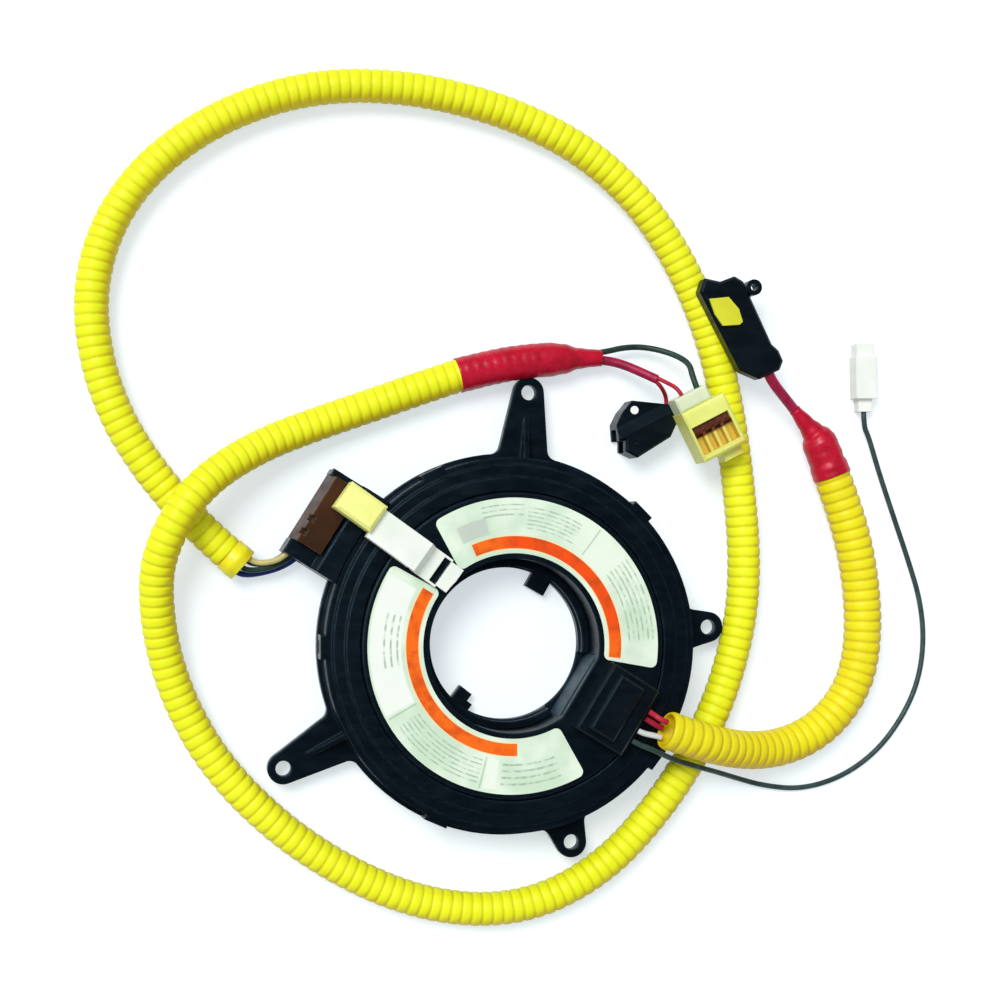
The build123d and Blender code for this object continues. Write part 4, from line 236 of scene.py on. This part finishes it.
class Nodes:
    """The node tree of a material or world, emptied, with short ways to add to it."""

    def __init__(self, owner):
        owner.use_nodes = True
        self.tree = owner.node_tree
        self.tree.nodes.clear()

    def node(self, kind, **settings):
        made = self.tree.nodes.new(kind)
        for key, value in settings.items():
            setattr(made, key, value)
        return made

    def link(self, output, socket):
        self.tree.links.new(output, socket)

    def feed(self, socket, value):
        """Link an output to the socket, or set the socket to a plain value."""
        if isinstance(value, bpy.types.NodeSocket):
            self.link(value, socket)
        else:
            socket.default_value = value

    def math(self, operation, *values):
        made = self.node("ShaderNodeMath", operation=operation)
        for socket, value in zip(made.inputs, values):
            self.feed(socket, value)
        return made.outputs[0]

    def times(self, first, second):
        return self.math("MULTIPLY", first, second)

    def either(self, values):
        """The highest of the values."""
        highest = values[0]
        for value in values[1:]:
            highest = self.math("MAXIMUM", highest, value)
        return highest

    def ramp(self, value, low, high, start=0.0, end=1.0):
        """Smooth change from start to end while value goes from low to high."""
        made = self.node("ShaderNodeMapRange", interpolation_type="SMOOTHSTEP")
        settings = {"Value": value, "From Min": low, "From Max": high, "To Min": start, "To Max": end}
        for key, item in settings.items():
            self.feed(made.inputs[key], item)
        return made.outputs["Result"]

    def rays(self, *kinds):
        """1 for the kinds of ray, named as Light Path's outputs are, and 0 for all others."""
        path = self.node("ShaderNodeLightPath")
        return self.either([path.outputs[kind] for kind in kinds])

    def background(self, colour, strength):
        made = self.node("ShaderNodeBackground")
        self.feed(made.inputs["Color"], colour)
        self.feed(made.inputs["Strength"], strength)
        return made.outputs[0]

    def join(self, kind, *values):
        """A node that puts shaders together, fed in the order of its inputs."""
        made = self.node(kind)
        for socket, value in zip(made.inputs, values):
            self.feed(socket, value)
        return made.outputs[0]


class Shader(Nodes):
    """A node material with a Principled shader and the nodes in front of it."""

    def __init__(self, name):
        self.material = bpy.data.materials.new(name)
        super().__init__(self.material)
        self.surface = self.node("ShaderNodeBsdfPrincipled")
        output = self.node("ShaderNodeOutputMaterial")
        self.link(self.surface.outputs["BSDF"], output.inputs["Surface"])
        self.place = self.node("ShaderNodeTexCoord").outputs["Object"]

    def set(self, **values):
        """Feed sockets of the Principled shader: base_color is its Base Color."""
        names = {"level": "Specular IOR Level", "tint": "Specular Tint"}
        for key, value in values.items():
            self.feed(self.surface.inputs[names.get(key, key.replace("_", " ").title())], value)

    def noise(self, scale, detail=3.0, stretch=None):
        """Noise with the scale in waves per metre."""
        made = self.node("ShaderNodeTexNoise")
        made.inputs["Scale"].default_value = scale
        made.inputs["Detail"].default_value = detail
        made.inputs["Roughness"].default_value = NOISE_ROUGHNESS
        place = self.place
        if stretch:
            mapping = self.node("ShaderNodeMapping")
            mapping.inputs["Scale"].default_value = stretch
            self.link(place, mapping.inputs["Vector"])
            place = mapping.outputs["Vector"]
        self.link(place, made.inputs["Vector"])
        return made.outputs["Fac"]

    def mix(self, factor, first, second):
        made = self.node("ShaderNodeMix", data_type="RGBA")
        for index, value in ((0, factor), (6, first), (7, second)):
            self.feed(made.inputs[index], value)
        return made.outputs[2]

    def two_shades(self, factor, colour, shade):
        return self.mix(factor, linear(*colour), linear(*shade))

    def split(self, vector):
        """The X, Y and Z of a vector."""
        parts = self.node("ShaderNodeSeparateXYZ")
        self.link(vector, parts.inputs[0])
        return parts.outputs[0], parts.outputs[1], parts.outputs[2]

    def rounded(self, radius):
        """Normal that rounds every edge by the radius."""
        bevel = self.node("ShaderNodeBevel", samples=BEVEL_SAMPLES)
        bevel.inputs["Radius"].default_value = radius
        return bevel.outputs["Normal"]

    def edge(self, radius):
        """0 on flat faces, up to 1 within the radius of an edge."""
        dot = self.node("ShaderNodeVectorMath", operation="DOT_PRODUCT")
        self.link(self.rounded(radius), dot.inputs[0])
        self.link(self.node("ShaderNodeNewGeometry").outputs["Normal"], dot.inputs[1])
        return self.ramp(dot.outputs["Value"], FLAT, SHARP)

    def bump(self, height, distance, strength, normal=None):
        made = self.node("ShaderNodeBump")
        made.inputs["Strength"].default_value = strength
        made.inputs["Distance"].default_value = distance
        self.link(height, made.inputs["Height"])
        if normal is not None:
            self.link(normal, made.inputs["Normal"])
        self.link(made.outputs["Normal"], self.surface.inputs["Normal"])

    def polar(self):
        """Distance from the shaft axis in millimetres, and angle from FIRST_ANGLE up in degrees."""
        x, y, _ = self.split(self.place)
        square = self.math("ADD", self.times(x, x), self.times(y, y))
        radius = self.times(self.math("SQRT", square), 1 / MM)
        angle = self.times(self.math("ARCTAN2", y, x), 180 / math.pi)
        turned = self.math("FLOORED_MODULO", self.math("ADD", angle, 360.0 - FIRST_ANGLE), 360.0)
        return radius, self.math("ADD", turned, FIRST_ANGLE)

    def band(self, value, low, high, soft):
        """1 between low and high, 0 outside, with soft edges."""
        rise = self.ramp(value, low - soft, low + soft)
        return self.times(rise, self.ramp(value, high - soft, high + soft, 1.0, 0.0))


def moulded(name, colour, shade, roughness, level=0.5, worn=None, edge=0.00035, tint=(1.0, 1.0, 1.0)):
    """Moulded plastic: blotches of two close shades, fine grain, and rounded edges lightened to the worn
    colour, as wear and painted highlight.
    """
    shader = Shader(name)
    base = shader.two_shades(shader.ramp(shader.noise(55.0, detail=4.0), 0.38, 0.64), colour, shade)
    # painted highlight and wear: near an edge the colour turns, in patches, to the worn colour, for rubbing
    # and for the light the edge catches
    patchy_wear_and_highlight = shader.ramp(shader.noise(420.0, detail=2.0), 0.35, 0.62, 0.25, 0.9)
    rubbed_and_highlit = shader.times(shader.edge(edge), patchy_wear_and_highlight)
    grain = shader.noise(900.0)
    smears = shader.noise(120.0, stretch=(1.0, 3.0, 1.0))
    sheen = shader.ramp(smears, 0.3, 0.75, roughness - 0.07, roughness + 0.1)
    shader.set(
        base_color=shader.mix(rubbed_and_highlit, base, linear(*(worn or colour))),
        roughness=shader.math("ADD", sheen, shader.times(grain, 0.06)),
        level=level, tint=(*tint, 1.0),
    )
    shader.bump(grain, distance=0.00004, strength=0.6, normal=shader.rounded(edge))
    return shader.material


def insulated(name, colour, shade, roughness=0.42, level=0.35):
    """Wire insulation, tape or shrunk sleeve: slightly uneven colour and small dents."""
    shader = Shader(name)
    streaks = shader.ramp(shader.noise(260.0), 0.35, 0.7)
    dents = shader.noise(900.0, detail=2.0)
    shader.set(
        base_color=shader.two_shades(streaks, colour, shade),
        roughness=shader.ramp(dents, 0.3, 0.7, roughness - 0.06, roughness + 0.1),
        level=level,
    )
    shader.bump(dents, distance=0.00002, strength=0.4)
    return shader.material


def metal(name, colour, shade, roughness):
    """Plated or rolled metal: brushed lines and dull spots."""
    shader = Shader(name)
    lines = shader.noise(700.0, detail=4.0, stretch=(1.0, 6.0, 1.0))
    shader.set(
        base_color=shader.two_shades(shader.ramp(lines, 0.3, 0.7), colour, shade),
        roughness=shader.ramp(lines, 0.3, 0.7, roughness - 0.08, roughness + 0.12),
        metallic=1.0,
    )
    shader.bump(lines, distance=0.00002, strength=0.5)
    return shader.material


def conduit_material(name, colour, shade, deep, under):
    """Soft PVC of a corrugated conduit, with painted shade: golden where it faces down or away from the key
    light, and deeper in its rib valleys and bore.
    """
    shader = Shader(name)
    base = shader.two_shades(shader.ramp(shader.noise(38.0, detail=4.0), 0.36, 0.66), colour, shade)
    # painted shade: faces turned down or away from the key light (from -X, +Y) take the under colour
    x, y, up = shader.split(shader.node("ShaderNodeNewGeometry").outputs["Normal"])
    aside = shader.times(shader.math("SUBTRACT", x, y), 0.5)
    low = shader.ramp(shader.math("SUBTRACT", up, aside), 0.85, 0.15)
    base = shader.mix(shader.times(low, 0.9), base, linear(*under))
    # painted shade in the valleys of the ribs and in the bore, where 'rib' is low, in uneven patches
    crest = shader.node("ShaderNodeAttribute", attribute_name="rib").outputs["Fac"]
    patches = shader.ramp(shader.noise(150.0), 0.25, 0.7, 0.55, 1.0)
    valley_shade = shader.times(shader.ramp(crest, 0.75, 0.1), patches)
    shader.set(
        base_color=shader.mix(shader.times(valley_shade, 0.5), base, linear(*deep)),
        roughness=shader.ramp(shader.noise(210.0), 0.3, 0.7, 0.36, 0.56),
        level=0.3,
    )
    shader.bump(shader.noise(1300.0), distance=0.00005, strength=0.45)
    return shader.material


def plain_fields(shader, radius, angle, paper):
    """The paper with plain fields of slightly other colours."""
    for start, end, inner, outer, colour in PLAIN_FIELDS:
        field = shader.times(shader.band(angle, start, end, 0.9), shader.band(radius, inner, outer, 0.3))
        paper = shader.mix(shader.times(field, 0.8), paper, linear(*colour))
    return paper


def ruled_fields(shader, radius, angle, paper):
    """The paper with fields of thin rules, worn through in places."""
    fields = []
    for start, end, inner, outer, pitch in RULED_FIELDS:
        field = shader.times(shader.band(angle, start, end, 0.6), shader.band(radius, inner, outer, 0.1))
        phase = shader.math("FLOORED_MODULO", shader.math("SUBTRACT", radius, inner), pitch)
        fields.append(shader.times(field, shader.band(phase, 0.3, 0.3 + pitch * 0.3, 0.16)))
    worn = shader.ramp(shader.noise(520.0, detail=2.0), 0.34, 0.6, 0.1, 0.75)
    return shader.mix(shader.times(shader.either(fields), worn), paper, linear(*RULE_INK))


def dividers(shader, radius, angle, paper):
    """The paper with thin lines across it, between the fields."""
    half = DIVIDER_HALF_WIDTH
    lines = shader.either([shader.band(angle, place - half, place + half, 0.2) for place in DIVIDERS])
    lines = shader.times(lines, shader.band(radius, *DIVIDER_RADII, 0.2))
    return shader.mix(shader.times(lines, 0.55), paper, linear(*DIVIDER_INK))


def orange_bands(shader, radius, angle, paper):
    """The paper with an orange band round its inner side, deeper in one part, and a warm halo beside it."""
    around = shader.either([shader.band(angle, start, end, 0.25) for start, end in ORANGE_BANDS])
    inner, outer = ORANGE_RADII
    halo = shader.times(shader.band(radius, inner - ORANGE_HALO, outer + ORANGE_HALO, 0.3), around)
    paper = shader.mix(shader.times(halo, 0.7), paper, linear(*HALO))
    orange = shader.two_shades(shader.band(angle, *DEEP_ORANGE_FIELD, 12.0), ORANGE, DEEP_ORANGE)
    blots = shader.ramp(shader.noise(260.0, detail=4.0), 0.42, 0.72)
    ink = shader.mix(blots, orange, linear(*BLOTTED_ORANGE))
    return shader.mix(shader.times(shader.band(radius, inner, outer, 0.1), around), paper, ink)


def label_material(name):
    """Printed paper: pale, lightly stained ground with fields, dividers and an orange band."""
    shader = Shader(name)
    radius, angle = shader.polar()
    stains = shader.ramp(shader.noise(60.0, detail=5.0), 0.38, 0.64)
    paper = shader.two_shades(stains, PAPER, STAINED_PAPER)
    for printed in (plain_fields, ruled_fields, dividers, orange_bands):
        paper = printed(shader, radius, angle, paper)
    shader.set(
        base_color=paper, roughness=shader.ramp(shader.noise(160.0), 0.3, 0.7, 0.45, 0.62), level=0.2,
    )
    shader.bump(shader.noise(1500.0, detail=4.0), distance=0.00003, strength=0.5)
    return shader.material


def cell_connector_material(name):
    """Pale yellow nylon, amber in the row of cells and on one corner, with painted shade low in the cells and
    a painted brown shade beside the contact bar.
    """
    shader = Shader(name)
    mapping = shader.node("ShaderNodeMapping", vector_type="TEXTURE")
    mapping.inputs["Location"].default_value = (MULTI_PLACE[0] * MM, MULTI_PLACE[1] * MM, 0.0)
    mapping.inputs["Rotation"].default_value = (0.0, 0.0, math.radians(MULTI_ANGLE))
    shader.link(shader.place, mapping.inputs["Vector"])
    parts = shader.split(mapping.outputs["Vector"])
    along, across, height = (shader.times(part, 1 / MM) for part in parts)
    base = shader.two_shades(shader.ramp(shader.noise(70.0, detail=4.0), 0.36, 0.66), SHELL, SHELL_SHADE)
    cells = shader.times(shader.band(along, *CELLS_ALONG, 0.2), shader.band(across, *CELLS_ACROSS, 0.5))
    base = shader.mix(shader.times(cells, 0.45), base, linear(*CELL))
    # painted shade: the cells darken towards their floors
    cell_floor_shade = shader.times(cells, shader.ramp(height, *CELLS_HEIGHT))
    base = shader.mix(shader.times(cell_floor_shade, 0.8), base, linear(*PAINTED_CELL_SHADE))
    # painted shade: dark brown on the walls beside the contact bar, below their top edge
    beside = shader.times(shader.band(along, *BAR_ALONG, 0.15), shader.band(across, *BAR_ACROSS, 0.35))
    beside = shader.times(beside, shader.ramp(height, *BAR_HEIGHT))
    base = shader.mix(beside, base, linear(*PAINTED_BAR_SHADE))
    amber = shader.times(shader.ramp(across, *AMBER_ACROSS), shader.ramp(along, *AMBER_ALONG, 1.0, 0.1))
    shader.set(
        base_color=shader.mix(shader.times(amber, 0.5), base, linear(*AMBER)),
        roughness=shader.ramp(shader.noise(200.0), 0.3, 0.7, 0.34, 0.5),
        level=0.4,
    )
    shader.bump(shader.noise(900.0), distance=0.00004, strength=0.5, normal=shader.rounded(0.0004))
    return shader.material


COLD = (0.5, 0.78, 1.0)
WARM = (1.0, 0.74, 0.55)
MATERIALS = {
    # a moulded finish's colour after its level is its edge colour: wear and painted highlight, which draws
    # the light arcs on the black parts
    "black": moulded("black_nylon", (3, 7, 13), (7, 12, 19), 0.36, 0.3, (26, 38, 50), tint=COLD),
    "housing": moulded("housing_nylon", (2, 6, 14), (5, 11, 20), 0.34, 0.3, (38, 56, 70), 0.0008, COLD),
    # painted light: on the rotor terminal this grey stands for the light its wall catches; the terminal block
    # wears it too
    "grey": moulded("grey_nylon_and_lit_face", (60, 80, 92), (42, 58, 68), 0.5, 0.4, (110, 132, 142), tint=COLD),
    "white": moulded("white_acetal", (252, 255, 250), (240, 247, 236), 0.42, 0.4, (255, 255, 255)),
    "pale_yellow": moulded("pale_yellow_nylon", (254, 255, 152), (244, 246, 132), 0.45, 0.4, (255, 255, 186)),
    "yellow": cell_connector_material("cell_connector_nylon"),
    "brown": moulded("brown_nylon", (64, 33, 14), (50, 27, 12), 0.46, 0.3, (118, 92, 76), 0.0005, WARM),
    "lock": moulded("lock_yellow", (226, 226, 48), (206, 206, 36), 0.45, 0.35, (240, 240, 90)),
    "rear": moulded("rear_cover_nylon", (230, 240, 206), (216, 228, 188), 0.45, 0.4, (244, 250, 228)),
    "bar": moulded("contact_bar_brown", (112, 52, 22), (92, 40, 18), 0.45, 0.4, (150, 84, 46)),
    "label": label_material("printed_label"),
    "tin": metal("tinned_brass", (200, 196, 180), (168, 162, 144), 0.34),
    "copper": metal("copper_film", (196, 120, 70), (160, 92, 52), 0.36),
    # under and deep are painted shade: on the sides away from the light, and in the rib valleys and the bore
    "conduit_a": conduit_material(
        "conduit_yellow", (252, 255, 32), (244, 250, 22), deep=(208, 186, 8), under=(228, 204, 6)
    ),
    "conduit_b": conduit_material(
        "conduit_golden", (248, 236, 22), (240, 226, 16), deep=(208, 168, 6), under=(226, 186, 8)
    ),
    "tape": insulated("yellow_tape", (250, 246, 34), (246, 212, 18), 0.34, 0.4),
    "shrink": insulated("heat_shrink_red", (202, 10, 50), (176, 8, 38), 0.32, 0.34),
    "red": insulated("wire_red", (196, 34, 62), (164, 22, 50)),
    "crimson": insulated("wire_crimson", (176, 26, 58), (150, 18, 46)),
    "sheath": insulated("lead_sheath", (178, 18, 74), (146, 12, 58)),
    "cream": insulated("wire_cream", (226, 214, 150), (204, 190, 124)),
    "black_wire": insulated("wire_black", (14, 16, 20), (24, 26, 30)),
    "green": insulated("wire_green", (40, 66, 58), (28, 50, 46)),
    "blue": insulated("wire_blue", (24, 40, 132), (16, 28, 104)),
    "white_wire": insulated("wire_white", (226, 230, 224), (204, 208, 200)),
    "horn": insulated("wire_grey_green", (58, 80, 78), (42, 62, 62)),
}
NODE_FINISH = {
    "housing_tray": "housing", "housing_cover": "housing", "rotor_disc": "housing", "rotor_sleeve": "housing",
    # the rotor terminal's grey is painted light on its wall
    "rotor_terminal": "grey", "connector_shroud": "black", "shroud_lid": "black", "rotor_plug": "black",
    "label_upper": "label", "label_lower": "label", "ribbon_cable": "copper", "rotor_pins": "tin",
    "socket_pins": "tin", "terminal_block": "grey", "column_plug": "brown", "lock_strap": "white",
    "lock_block": "pale_yellow", "squib_connector": "black", "squib_lock": "lock",
    "multi_connector": "yellow", "multi_rear_cover": "rear", "contact_bar": "bar",
    "two_way_connector": "black", "two_way_seal": "white", "horn_connector": "white",
}
for name, finish in NODE_FINISH.items():
    slots = nodes[name].data.materials
    if not len(slots):
        slots.append(MATERIALS[finish])
    for index in range(len(slots)):
        slots[index] = MATERIALS[finish]


# ---- lines and tubes ------------------------------------------------------------------------------
def new_object(name, data, material=None):
    """Object in the scene, with the material on its mesh or curve."""
    if material is not None:
        data.materials.append(material)
    made = bpy.data.objects.new(name, data)
    bpy.context.scene.collection.objects.link(made)
    return made


def spline_curve(name, route, steps=WIRE_STEPS, radius=0.0, material=None):
    """Curve object with one smooth NURBS spline whose control points are the route's."""
    curve = bpy.data.curves.new(name, "CURVE")
    curve.dimensions = "3D"
    curve.bevel_depth = radius * MM
    curve.bevel_resolution = WIRE_ROUNDNESS
    curve.use_fill_caps = True
    spline = curve.splines.new("NURBS")
    spline.points.add(len(route) - 1)
    for point, (x, y, z) in zip(spline.points, route):
        point.co = (x * MM, y * MM, z * MM, 1.0)
    spline.order_u = 3
    spline.use_endpoint_u = True
    spline.resolution_u = steps
    return new_object(name, curve, material)


def line_points(name, route, steps=LINE_STEPS):
    """The points of a route's smooth line."""
    made = spline_curve(name + "_line", route, steps)
    bpy.context.view_layer.update()
    mesh = bpy.data.meshes.new_from_object(made)
    points = [v.co.copy() for v in mesh.vertices]
    bpy.data.objects.remove(made)
    bpy.data.meshes.remove(mesh)
    return points


def walk(points, places):
    """Positions and directions at the given distances along a line of points.

    A distance shorter than the one before it is taken straight back from there.
    """
    lengths = [0.0]
    for before, after in zip(points, points[1:]):
        lengths.append(lengths[-1] + (after - before).length)
    found, at = [], 0
    for place in places:
        while at < len(points) - 2 and lengths[at + 1] < place:
            at += 1
        run = lengths[at + 1] - lengths[at]
        share = (place - lengths[at]) / run if run else 0.0
        ahead = (points[at + 1] - points[at]).normalized()
        found.append((points[at].lerp(points[at + 1], share), ahead))
    return found


def line_length(points):
    return sum((after - before).length for before, after in zip(points, points[1:]))


def tube(name, points, rings, finish, sides, warp=None):
    """Closed tube mesh along a line.

    Rings are (distance along the line, radius). A conduit's have a third number for the 'rib' attribute,
    which is 1 on a crest and less in a valley or in the bore, where its material paints shade. warp gives the
    factor of the radius at a place.
    """
    bm = bmesh.new()
    frames = walk(points, [ring[0] for ring in rings])
    across = Vector((0, 0, 1)).cross(frames[0][1]).normalized()
    loops = []
    for (centre, ahead), ring in zip(frames, rings):
        across = (across - ahead * across.dot(ahead)).normalized()
        up = ahead.cross(across)
        loop = []
        for step in range(sides):
            turn = 2 * math.pi * step / sides
            out = across * math.cos(turn) + up * math.sin(turn)
            radius = ring[1] * (warp(centre + out * ring[1]) if warp else 1.0)
            loop.append(bm.verts.new(centre + out * radius))
        loops.append(loop)
    for first, second in zip(loops, loops[1:]):
        for step in range(sides):
            following = (step + 1) % sides
            bm.faces.new((first[step], first[following], second[following], second[step]))
    bm.faces.new(tuple(reversed(loops[0])))
    bm.faces.new(tuple(loops[-1]))
    for face in bm.faces:
        face.smooth = True
    bmesh.ops.recalc_face_normals(bm, faces=bm.faces)
    mesh = bpy.data.meshes.new(name)
    bm.to_mesh(mesh)
    bm.free()
    marks = [ring[2] for ring in rings if len(ring) > 2 for _ in range(sides)]
    if marks:
        mesh.attributes.new("rib", "FLOAT", "POINT").data.foreach_set("value", marks)
    return new_object(name, mesh, MATERIALS[finish])


def corrugated(name, route, finish, size):
    """Corrugated conduit along a route, open at both ends, with its bore shown there."""
    diameter, pitch, depth, sides = size
    points = line_points(name, route)
    length = line_length(points)
    count = round(length / (pitch * MM))
    step = length / count
    outer, inner = diameter / 2 * MM, (diameter / 2 - depth - CONDUIT_WALL) * MM
    mouth, closed = MOUTH_DEPTH * MM, inner * MOUTH_FLOOR
    rings = [(mouth, closed, 0.0), (mouth, inner, 0.0), (MOUTH_LIP * MM, inner, 0.1), (0.0, inner, 0.3)]
    for rib in range(count):
        for share, drop in RIB_PROFILE:
            rings.append(((rib + share) * step, outer - drop * depth * MM, 1.0 - drop))
    rings += [(length, outer - depth * MM, 0.3), (length, inner, 0.2)]
    rings += [(length - mouth, inner, 0.0), (length - mouth, closed, 0.0)]
    return tube(name, points, rings, finish, sides), points, length


def creased(place):
    """Factor of a shrunk sleeve's radius at a place: shallow dents, and creases half as deep."""
    dents = noise.noise(place * SLEEVE_DENT_SCALE)
    creases = noise.noise(place * SLEEVE_CREASE_SCALE)
    return 1.0 + SLEEVE_DENTS * (dents + 0.5 * creases)


def wrapped(place):
    """Factor of the tape collar's radius at a place."""
    return 1.0 + TAPE_DENTS * noise.noise(place * TAPE_DENT_SCALE)


def radius_at(share, radii):
    """Radius at a share of the length, eased between the given ones."""
    for (low, first), (high, second) in zip(radii, radii[1:]):
        if low <= share <= high:
            blend = (share - low) / (high - low)
            radius = first + (second - first) * (3 * blend * blend - 2 * blend ** 3)
    return radius


def sleeve(name, route, radii, ribs):
    """Shrunk sleeve, with the conduit's ribs showing faintly through its wide part."""
    points = line_points(name, route)
    length = line_length(points)
    pitch, height, last = ribs
    rings = []
    total = int(length / MM / SLEEVE_RING_STEP)
    for index in range(total + 1):
        share = index / total
        fade = max(0.0, min(1.0, (last - share) / SLEEVE_RIBS_FADE))
        swell = height * fade * math.cos(2 * math.pi * share * length / MM / pitch)
        rings.append((share * length, (radius_at(share, radii) + swell) * MM))
    return tube(name, points, rings, "shrink", SLEEVE_SIDES, creased)


conduit_a, line_a, length_a = corrugated("conduit_long", CONDUIT_A, "conduit_a", CONDUIT_A_SIZE)
conduit_b, line_b, length_b = corrugated("conduit_short", CONDUIT_B, "conduit_b", CONDUIT_B_SIZE)
sleeve_a = sleeve("shrink_sleeve_long", COLUMN_SLEEVE, COLUMN_SLEEVE_RADII, COLUMN_SLEEVE_RIBS)
sleeve_b = sleeve("shrink_sleeve_short", SQUIB_SLEEVE, SQUIB_SLEEVE_RADII, SQUIB_SLEEVE_RIBS)
tape_rings = [(along * MM, radius * MM) for along, radius in TAPE_PROFILE]
tape = tube("tape_collar", line_points("tape", TAPE_COLLAR), tape_rings, "tape", SLEEVE_SIDES, wrapped)

# ---- wires ----------------------------------------------------------------------------------------
wires = {}
for name, (diameter, finish, route) in SHORT_WIRES.items():
    wires[name] = spline_curve(
        name.replace("_", "-"), route, radius=diameter / 2, material=MATERIALS[finish]
    )
ground = spline_curve("ground-wire", GROUND_WIRE, radius=GROUND_RADIUS, material=MATERIALS["green"])
ground_length = line_length(line_points("ground", GROUND_WIRE))

horn_line = line_points("horn", HORN_WIRE, HORN_STEPS)
horn_length = line_length(horn_line)
horn_rings = [(horn_length * i / HORN_RINGS, HORN_RADIUS * MM) for i in range(HORN_RINGS + 1)]
horn = tube("horn-wire", horn_line, horn_rings, "horn", HORN_SIDES)


# ---- floor, light and camera ----------------------------------------------------------------------
def paper_floor():
    """Large pale floor just under the part: white where it is lit, and darker in the part's soft shadow."""
    bm = bmesh.new()
    bmesh.ops.create_grid(bm, x_segments=1, y_segments=1, size=FLOOR_REACH)
    mesh = bpy.data.meshes.new("floor")
    bm.to_mesh(mesh)
    bm.free()
    paper = bpy.data.materials.new("floor_paper")
    tree = Nodes(paper)
    diffuse = tree.node("ShaderNodeBsdfDiffuse")
    diffuse.inputs["Color"].default_value = FLOOR_COLOUR
    glow = tree.node("ShaderNodeEmission")
    glow.inputs["Color"].default_value = FLOOR_GLOW
    seen = tree.rays("Is Camera Ray", "Is Glossy Ray", "Is Transmission Ray")
    tree.link(tree.times(seen, FLOOR_LIFT), glow.inputs["Strength"])
    both = tree.join("ShaderNodeAddShader", diffuse.outputs[0], glow.outputs[0])
    tree.link(both, tree.node("ShaderNodeOutputMaterial").inputs["Surface"])
    made = new_object("floor", mesh, paper)
    made.location.z = -FLOOR_DROP
    return made


def studio_world():
    """Plain fill light. Mirrored rays see a dim room with one large soft box, and the camera sees white."""
    world = bpy.data.worlds.new("studio")
    bpy.context.scene.world = world
    tree = Nodes(world)
    toward = tree.node("ShaderNodeVectorMath", operation="DOT_PRODUCT")
    toward.inputs[1].default_value = Vector(BOX_SIDE).normalized()
    tree.link(tree.node("ShaderNodeTexCoord").outputs["Generated"], toward.inputs[0])
    box = tree.ramp(toward.outputs["Value"], *BOX_EDGE, ROOM_STRENGTH, BOX_STRENGTH)
    mirrored = tree.rays("Is Glossy Ray", "Is Transmission Ray")
    fill = tree.background(FILL_COLOUR, FILL_STRENGTH)
    room = tree.background(ROOM_COLOUR, box)
    light = tree.join("ShaderNodeMixShader", mirrored, fill, room)
    white = tree.background(WHITE, 1.0)
    shown = tree.join("ShaderNodeMixShader", tree.rays("Is Camera Ray"), light, white)
    tree.link(shown, tree.node("ShaderNodeOutputWorld").inputs["Surface"])


def key_light():
    """One soft lamp from the upper left."""
    lamp = bpy.data.lights.new("key", "SUN")
    lamp.energy = KEY_STRENGTH
    lamp.angle = math.radians(KEY_SPREAD)
    lamp.color = KEY_COLOUR
    new_object("key", lamp).rotation_euler = Vector(KEY_SIDE).to_track_quat("Z", "Y").to_euler()


def photo_camera():
    """Camera nearly straight above the part, with +Y up in its picture."""
    tilt, pitch = math.radians(CAMERA_TILT), math.radians(CAMERA_PITCH)
    back = Vector((-math.sin(tilt) * math.cos(pitch), math.sin(pitch), math.cos(tilt) * math.cos(pitch)))
    right = Vector((0, 1, 0)).cross(back).normalized()
    turn = Matrix((right, back.cross(right), back)).transposed().to_4x4()
    data = bpy.data.cameras.new("camera")
    data.lens = CAMERA_LENS
    data.sensor_width = CAMERA_SENSOR
    data.clip_start = CAMERA_CLIP_START
    made = new_object("camera", data)
    made.matrix_world = Matrix.Translation(Vector(CAMERA_TARGET) + back * CAMERA_DISTANCE) @ turn
    return made


floor = paper_floor()
studio_world()
key_light()
bpy.context.scene.camera = photo_camera()
bpy.context.scene.view_settings.view_transform = "Standard"

# ---- what rides on what ---------------------------------------------------------------------------
ROTOR_WIRES = [name for name in wires if name.startswith("rotor_wire")]
for name, made in wires.items():
    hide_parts(name)
    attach(made, "rotor" if name in ROTOR_WIRES else "stator")
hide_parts("column_conduit")
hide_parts("airbag_conduit")
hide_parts("column_sleeve")
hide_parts("squib_sleeve")
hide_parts("conduit_collar")
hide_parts("ground_wire")
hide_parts("horn_wire")
for made in (conduit_a, sleeve_a, sleeve_b, tape, ground):
    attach(made, "stator")
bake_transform(conduit_b)
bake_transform(horn)
